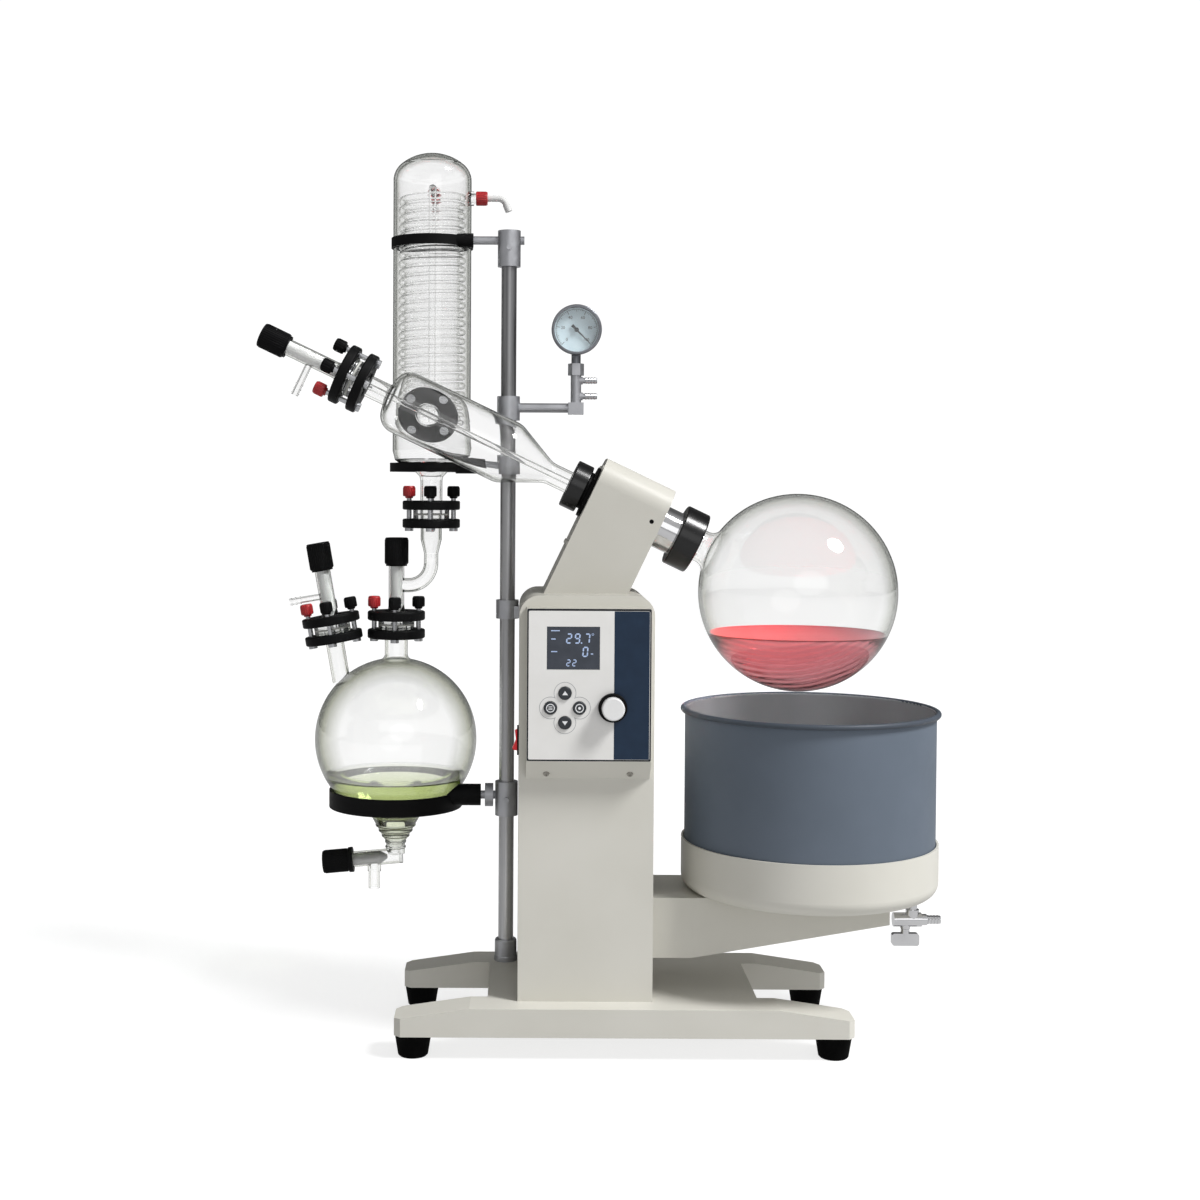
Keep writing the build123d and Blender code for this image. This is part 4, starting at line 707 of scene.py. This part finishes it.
def figures(text, x, z, h, w, t, step):
    parts = []
    z0, z1 = 105.4 - 0.04, 105.4 + 0.07
    for ch in text:
        if ch == ".":
            parts.append((FRONT, *plate(rect(x - (step - w) * 0.72, z, x - (step - w) * 0.72 + t, z + t), z0, z1)))
            continue
        g, s = 0.12 * t, 0.09 * h
        sl = lambda px, pz: (px + s * (pz - z) / h, pz)
        hor = lambda zz: [sl(x + t * 0.55 + g, zz), sl(x + t + g, zz - t / 2), sl(x + w - t - g, zz - t / 2), sl(x + w - t * 0.55 - g, zz), sl(x + w - t - g, zz + t / 2), sl(x + t + g, zz + t / 2)]
        ver = lambda xx, za, zb: [sl(xx, za + t * 0.55 + g), sl(xx + t / 2, za + t + g), sl(xx + t / 2, zb - t - g), sl(xx, zb - t * 0.55 - g), sl(xx - t / 2, zb - t - g), sl(xx - t / 2, za + t + g)]
        zb, zm, zt = z + t / 2, z + h / 2, z + h - t / 2
        shape = {"a": hor(zt), "g": hor(zm), "d": hor(zb), "f": ver(x + t / 2, zm - t / 2, zt + t / 2), "b": ver(x + w - t / 2, zm - t / 2, zt + t / 2),
                 "e": ver(x + t / 2, zb - t / 2, zm + t / 2), "c": ver(x + w - t / 2, zb - t / 2, zm + t / 2)}
        parts += [(FRONT, *plate(shape[k], z0, z1)) for k in SEG[ch]]
        x += step
    return parts


digits = figures("29", 61.0, 452.6, 11.2, 6.2, 1.5, 9.0) + figures("7", 80.6, 452.6, 11.2, 6.2, 1.5, 9.0)
digits += [(FRONT, *plate(rect(77.2, 452.6, 78.7, 454.1), 105.36, 105.47))]
digits += figures("0", 78.6, 438.2, 11.2, 6.2, 1.5, 9.0)
digits += figures("22", 61.4, 428.0, 7.6, 4.4, 1.1, 6.4)
for x0, zz, w in ((45.0, 466.0, 9.5), (45.2, 457.0, 5.0), (45.2, 443.4, 6.6), (88.0, 441.0, 2.6)):
    digits.append((FRONT, *plate(soft(rect(x0, zz, x0 + w, zz + 1.1), {0: 0.3, 1: 0.3, 2: 0.3, 3: 0.3}, 3), 105.36, 105.47)))
digits.append((FRONT, *plate(circle(90.2, 462.6, 1.2, 20), 105.36, 105.47, [circle(90.2, 462.6, 0.7, 20)])))
piece("display_figures", digits, M["segment"], "frame", 30)

# ------------------------------------------------------------------ gauge dial
dial = [(FACE, *plate(circle(0, 0, 26.1, 72), 9.0, 9.25, [circle(0, 0, 1.7, 24)]))]
piece("gauge_dial", dial, M["dial"], "frame", 30)
marks = []
for k in range(51):
    a = math.radians(225 - 270 * k / 50)
    r0, hw = (20.2, 0.3) if k % 10 == 0 else (21.6, 0.22) if k % 5 == 0 else (22.6, 0.13)
    ca, sa = math.cos(a), math.sin(a)
    q = [(r0 * ca + hw * sa, r0 * sa - hw * ca), (24.2 * ca + hw * sa, 24.2 * sa - hw * ca), (24.2 * ca - hw * sa, 24.2 * sa + hw * ca), (r0 * ca - hw * sa, r0 * sa + hw * ca)]
    marks.append((FACE, *plate(q, 9.2, 9.34)))
arc_o = circle(0, 0, 24.5, 60, math.radians(225), math.radians(-45), True)
arc_i = circle(0, 0, 24.1, 60, math.radians(-45), math.radians(225), True)
marks.append((FACE, *plate(arc_o + arc_i, 9.2, 9.34)))
piece("gauge_marks", marks, M["ink"], "frame", 30)


def number(text, x, y, size, z):
    cu = bpy.data.curves.new("n_" + text, "FONT")
    cu.body = text
    cu.size = size
    cu.align_x = "CENTER"
    cu.align_y = "CENTER"
    cu.extrude = 0.06
    cu.resolution_u = 3
    o = bpy.data.objects.new("n_" + text, cu)
    scene.collection.objects.link(o)
    bpy.context.view_layer.update()
    me = o.evaluated_get(bpy.context.evaluated_depsgraph_get()).to_mesh()
    v = [(p.co.x + x, p.co.y + y, p.co.z + z) for p in me.vertices]
    f = [tuple(p.vertices) for p in me.polygons]
    bpy.data.objects.remove(o)
    bpy.data.curves.remove(cu)
    return v, f


nums = []
for k, t in enumerate(("0", "20", "40", "60", "80", "100")):
    a = math.radians(225 - 54 * k)
    nums.append((FACE, *number(t, 16.2 * math.cos(a), 16.2 * math.sin(a), 5.0, 9.28)))
piece("gauge_numbers", nums, M["ink"], "frame", 30)

# ------------------------------------------------------------------ grips and barbs
for n, body, fr, k0, length, r in (("feed", "feed_stem", FEED, 82.5, 33.5, 14.0), ("vent", "vent_stem", VENT, 71.4, 34.5, 14.0),
                                   ("inlet", "inlet_stem", INLET, 71.4, 34.5, 14.0), ("drain", "drain_stem", DRAIN, 51.0, 37.0, 13.6)):
    z0 = k0 + (3.2 if n != "drain" else 6.6)
    piece(n + "_knob_ribs", [(fr, *ribs(r, z0, k0 + length - 2.2, 36, 1.3, 0.55))], M["black"], body, 30)

black_ribs, red_ribs = [], []
for fr, knob0, length, red, first in ((FEED, 21.5, 15.0, 2, 0.0), (SIDE, 18.6, 11.0, 9, 45.0), (OUTLET, 19.5, 15.0, 2, 0.0), (INLET, 19.5, 15.0, 2, 0.0), (VENT, 19.5, 15.0, 2, 0.0)):
    for k in range(4):
        a = math.radians(first + 90 * k)
        mv = fr @ Matrix.Translation((27.0 * math.cos(a), 27.0 * math.sin(a), 0))
        (red_ribs if k == red else black_ribs).append((mv, *ribs(7.3, knob0 + 3.0, knob0 + length - 2.2, 18, 1.1, 0.4)))
for o_, z_, x_ in (((COND_X + 62.3, COND_Y, 970.0), (1, 0, 0), (0, 0, 1)), ((COND_X, COND_Y + 62.3, 983.0), (0, 1, 0), (0, 0, 1))):
    red_ribs.append((at(o_, z_, x_), *ribs(8.2, -9.0, 3.0, 20, 1.1, 0.4)))
piece("nut_ribs", black_ribs, M["black"], "frame", 30)
piece("red_nut_ribs", red_ribs, M["red"], "frame", 30)


def barbs(start, step, n, r, up, inner):
    prof = []
    for k in range(n):
        z = start + step * k
        prof.append([(inner, z), (r, z), (r + up, z + 0.3), (r, z + step * 0.9), (inner, z + step * 0.9)])
    return prof


tails = []
for z in (747.0, 728.5):
    fr = at((81.7, 80.0, z), (1, 0, 0), (0, 0, 1))
    tails += [(fr, *lathe(p, 40)) for p in barbs(6.0, 3.4, 4, 3.3, 0.75, 2.6)]
piece("gauge_tail_barbs", tails, M["steel"], "frame", 30)
fr = at((475.0, 0.0, 128.0), (1, 0, 0), (0, 0, 1))
piece("drain_tail_barbs", [(fr, *lathe(p, 40)) for p in barbs(5.0, 3.6, 4, 4.5, 0.8, 3.6)], M["chrome"], "bath", 30)

# vent grille that closes the column's back above the rear cover
outline = [(14.8, 474.0), (155.2, 474.0)] + circle(137.0, 481.0, 18.2, 12, 0.0, math.pi / 2, True) + circle(33.0, 481.0, 18.2, 12, math.pi / 2, math.pi, True)
slots = [rect(x - 2.6, 483.0, x + 2.6, 495.0)[::-1] for x in range(41, 130, 11)]
piece("rear_vent_grille", [(FRONT, *plate(outline, -82.6, -80.6, slots))], M["paint"], "frame", 30)

# ------------------------------------------------------------------ floor, light, camera
bm = bmesh.new()
bmesh.ops.create_grid(bm, x_segments=4, y_segments=4, size=12.0)
me = bpy.data.meshes.new("floor")
bm.to_mesh(me)
bm.free()
floor = bpy.data.objects.new("floor", me)
scene.collection.objects.link(floor)
m = bpy.data.materials.new("pale_floor")
m.use_nodes = True
nt = m.node_tree
nt.nodes.clear()
out = nt.nodes.new("ShaderNodeOutputMaterial")
dif = nt.nodes.new("ShaderNodeBsdfDiffuse")
dif.inputs["Color"].default_value = (0.34, 0.34, 0.34, 1)
emi = nt.nodes.new("ShaderNodeEmission")
emi.inputs["Color"].default_value = (1, 1, 1, 1)
lp = nt.nodes.new("ShaderNodeLightPath")
mx = nt.nodes.new("ShaderNodeMath")
mx.operation = "MAXIMUM"
nt.links.new(lp.outputs["Is Camera Ray"], mx.inputs[0])
nt.links.new(lp.outputs["Is Transmission Ray"], mx.inputs[1])
st = nt.nodes.new("ShaderNodeMapRange")
st.inputs["To Min"].default_value = 0.28
tc = nt.nodes.new("ShaderNodeTexCoord")
ln = nt.nodes.new("ShaderNodeVectorMath")
ln.operation = "LENGTH"
nt.links.new(tc.outputs["Object"], ln.inputs[0])
far = nt.nodes.new("ShaderNodeMapRange")
far.inputs["From Min"].default_value = 0.55
far.inputs["From Max"].default_value = 1.7
far.inputs["To Min"].default_value = 0.76
far.inputs["To Max"].default_value = 0.88
nt.links.new(ln.outputs["Value"], far.inputs["Value"])
nt.links.new(far.outputs["Result"], st.inputs["To Max"])
nt.links.new(mx.outputs["Value"], st.inputs["Value"])
nt.links.new(st.outputs["Result"], emi.inputs["Strength"])
add = nt.nodes.new("ShaderNodeAddShader")
nt.links.new(dif.outputs["BSDF"], add.inputs[0])
nt.links.new(emi.outputs["Emission"], add.inputs[1])
nt.links.new(add.outputs["Shader"], out.inputs["Surface"])
me.materials.append(m)

world = bpy.data.worlds.new("studio")
scene.world = world
world.use_nodes = True
nt = world.node_tree
nt.nodes.clear()
out = nt.nodes.new("ShaderNodeOutputWorld")
bg = nt.nodes.new("ShaderNodeBackground")
bg.inputs["Color"].default_value = (1, 1, 1, 1)
lp = nt.nodes.new("ShaderNodeLightPath")
tc = nt.nodes.new("ShaderNodeTexCoord")
xyz = nt.nodes.new("ShaderNodeSeparateXYZ")
nt.links.new(tc.outputs["Generated"], xyz.inputs["Vector"])
# rays through glass: white straight behind the object, dim to the sides and in front
back = nt.nodes.new("ShaderNodeMapRange")
back.interpolation_type = "SMOOTHSTEP"
back.inputs["From Min"].default_value = 0.4
back.inputs["From Max"].default_value = 0.93
back.inputs["To Min"].default_value = 0.04
back.inputs["To Max"].default_value = 1.0
nt.links.new(xyz.outputs["Y"], back.inputs["Value"])


def pick(flag, no, yes):
    """no or yes, as a number or a socket, by a ray flag."""
    n = nt.nodes.new("ShaderNodeMapRange")
    for key, v in (("To Min", no), ("To Max", yes)):
        if isinstance(v, float):
            n.inputs[key].default_value = v
        else:
            nt.links.new(v, n.inputs[key])
    nt.links.new(lp.outputs[flag], n.inputs["Value"])
    return n.outputs["Result"]


# mirror rays: brighter in front of the object than behind it
mirror = nt.nodes.new("ShaderNodeMapRange")
mirror.inputs["From Min"].default_value = -0.35
mirror.inputs["From Max"].default_value = 0.45
mirror.inputs["To Min"].default_value = 0.52
mirror.inputs["To Max"].default_value = 0.12
nt.links.new(xyz.outputs["Y"], mirror.inputs["Value"])
soft_fill = nt.nodes.new("ShaderNodeMapRange")
soft_fill.inputs["From Min"].default_value = -1.0
soft_fill.inputs["To Min"].default_value = 0.2
soft_fill.inputs["To Max"].default_value = 0.52
nt.links.new(xyz.outputs["X"], soft_fill.inputs["Value"])
level = pick("Is Glossy Ray", soft_fill.outputs["Result"], mirror.outputs["Result"])
level = pick("Is Transmission Ray", level, back.outputs["Result"])
level = pick("Is Camera Ray", level, 1.05)
nt.links.new(level, bg.inputs["Strength"])
nt.links.new(bg.outputs["Background"], out.inputs["Surface"])


def area(name, place, aim, size, power, tint=(1, 1, 1)):
    la = bpy.data.lights.new(name, "AREA")
    la.shape = "ELLIPSE"
    la.size, la.size_y = size
    la.energy = power
    la.color = tint
    o = bpy.data.objects.new(name, la)
    scene.collection.objects.link(o)
    o.location = place
    d = Vector(aim) - Vector(place)
    o.rotation_euler = d.to_track_quat("-Z", "Y").to_euler()
    return o


area("key", (3.10, -1.86, 4.62), (0.0, 0.0, 0.5), (1.5, 1.5), 305)
area("front", (0.5, -3.2, 1.3), (0.0, 0.0, 0.5), (2.2, 1.6), 7.5)

cam = bpy.data.cameras.new("camera")
cam.sensor_width = 36.0
cam.lens = 50.731
cam.shift_x, cam.shift_y = 0.07045, -0.06
cam.dof.use_dof = False
co = bpy.data.objects.new("camera", cam)
scene.collection.objects.link(co)
pitch, roll = -0.0262729, 0.0053208
fw = Vector((0, math.cos(pitch), math.sin(pitch)))
rt = Vector((1, 0, 0))
up = rt.cross(fw)
rt2 = rt * math.cos(roll) + up * math.sin(roll)
up2 = up * math.cos(roll) - rt * math.sin(roll)
co.matrix_world = Matrix(((rt2.x, up2.x, -fw.x, -0.097005), (rt2.y, up2.y, -fw.y, -1.968805), (rt2.z, up2.z, -fw.z, 0.624905), (0, 0, 0, 1)))
scene.camera = co

scene.view_settings.view_transform = "Standard"
scene.view_settings.look = "None"
scene.cycles.max_bounces = 24
scene.cycles.transmission_bounces = 20
scene.cycles.transparent_max_bounces = 24
scene.cycles.glossy_bounces = 8
scene.cycles.diffuse_bounces = 4
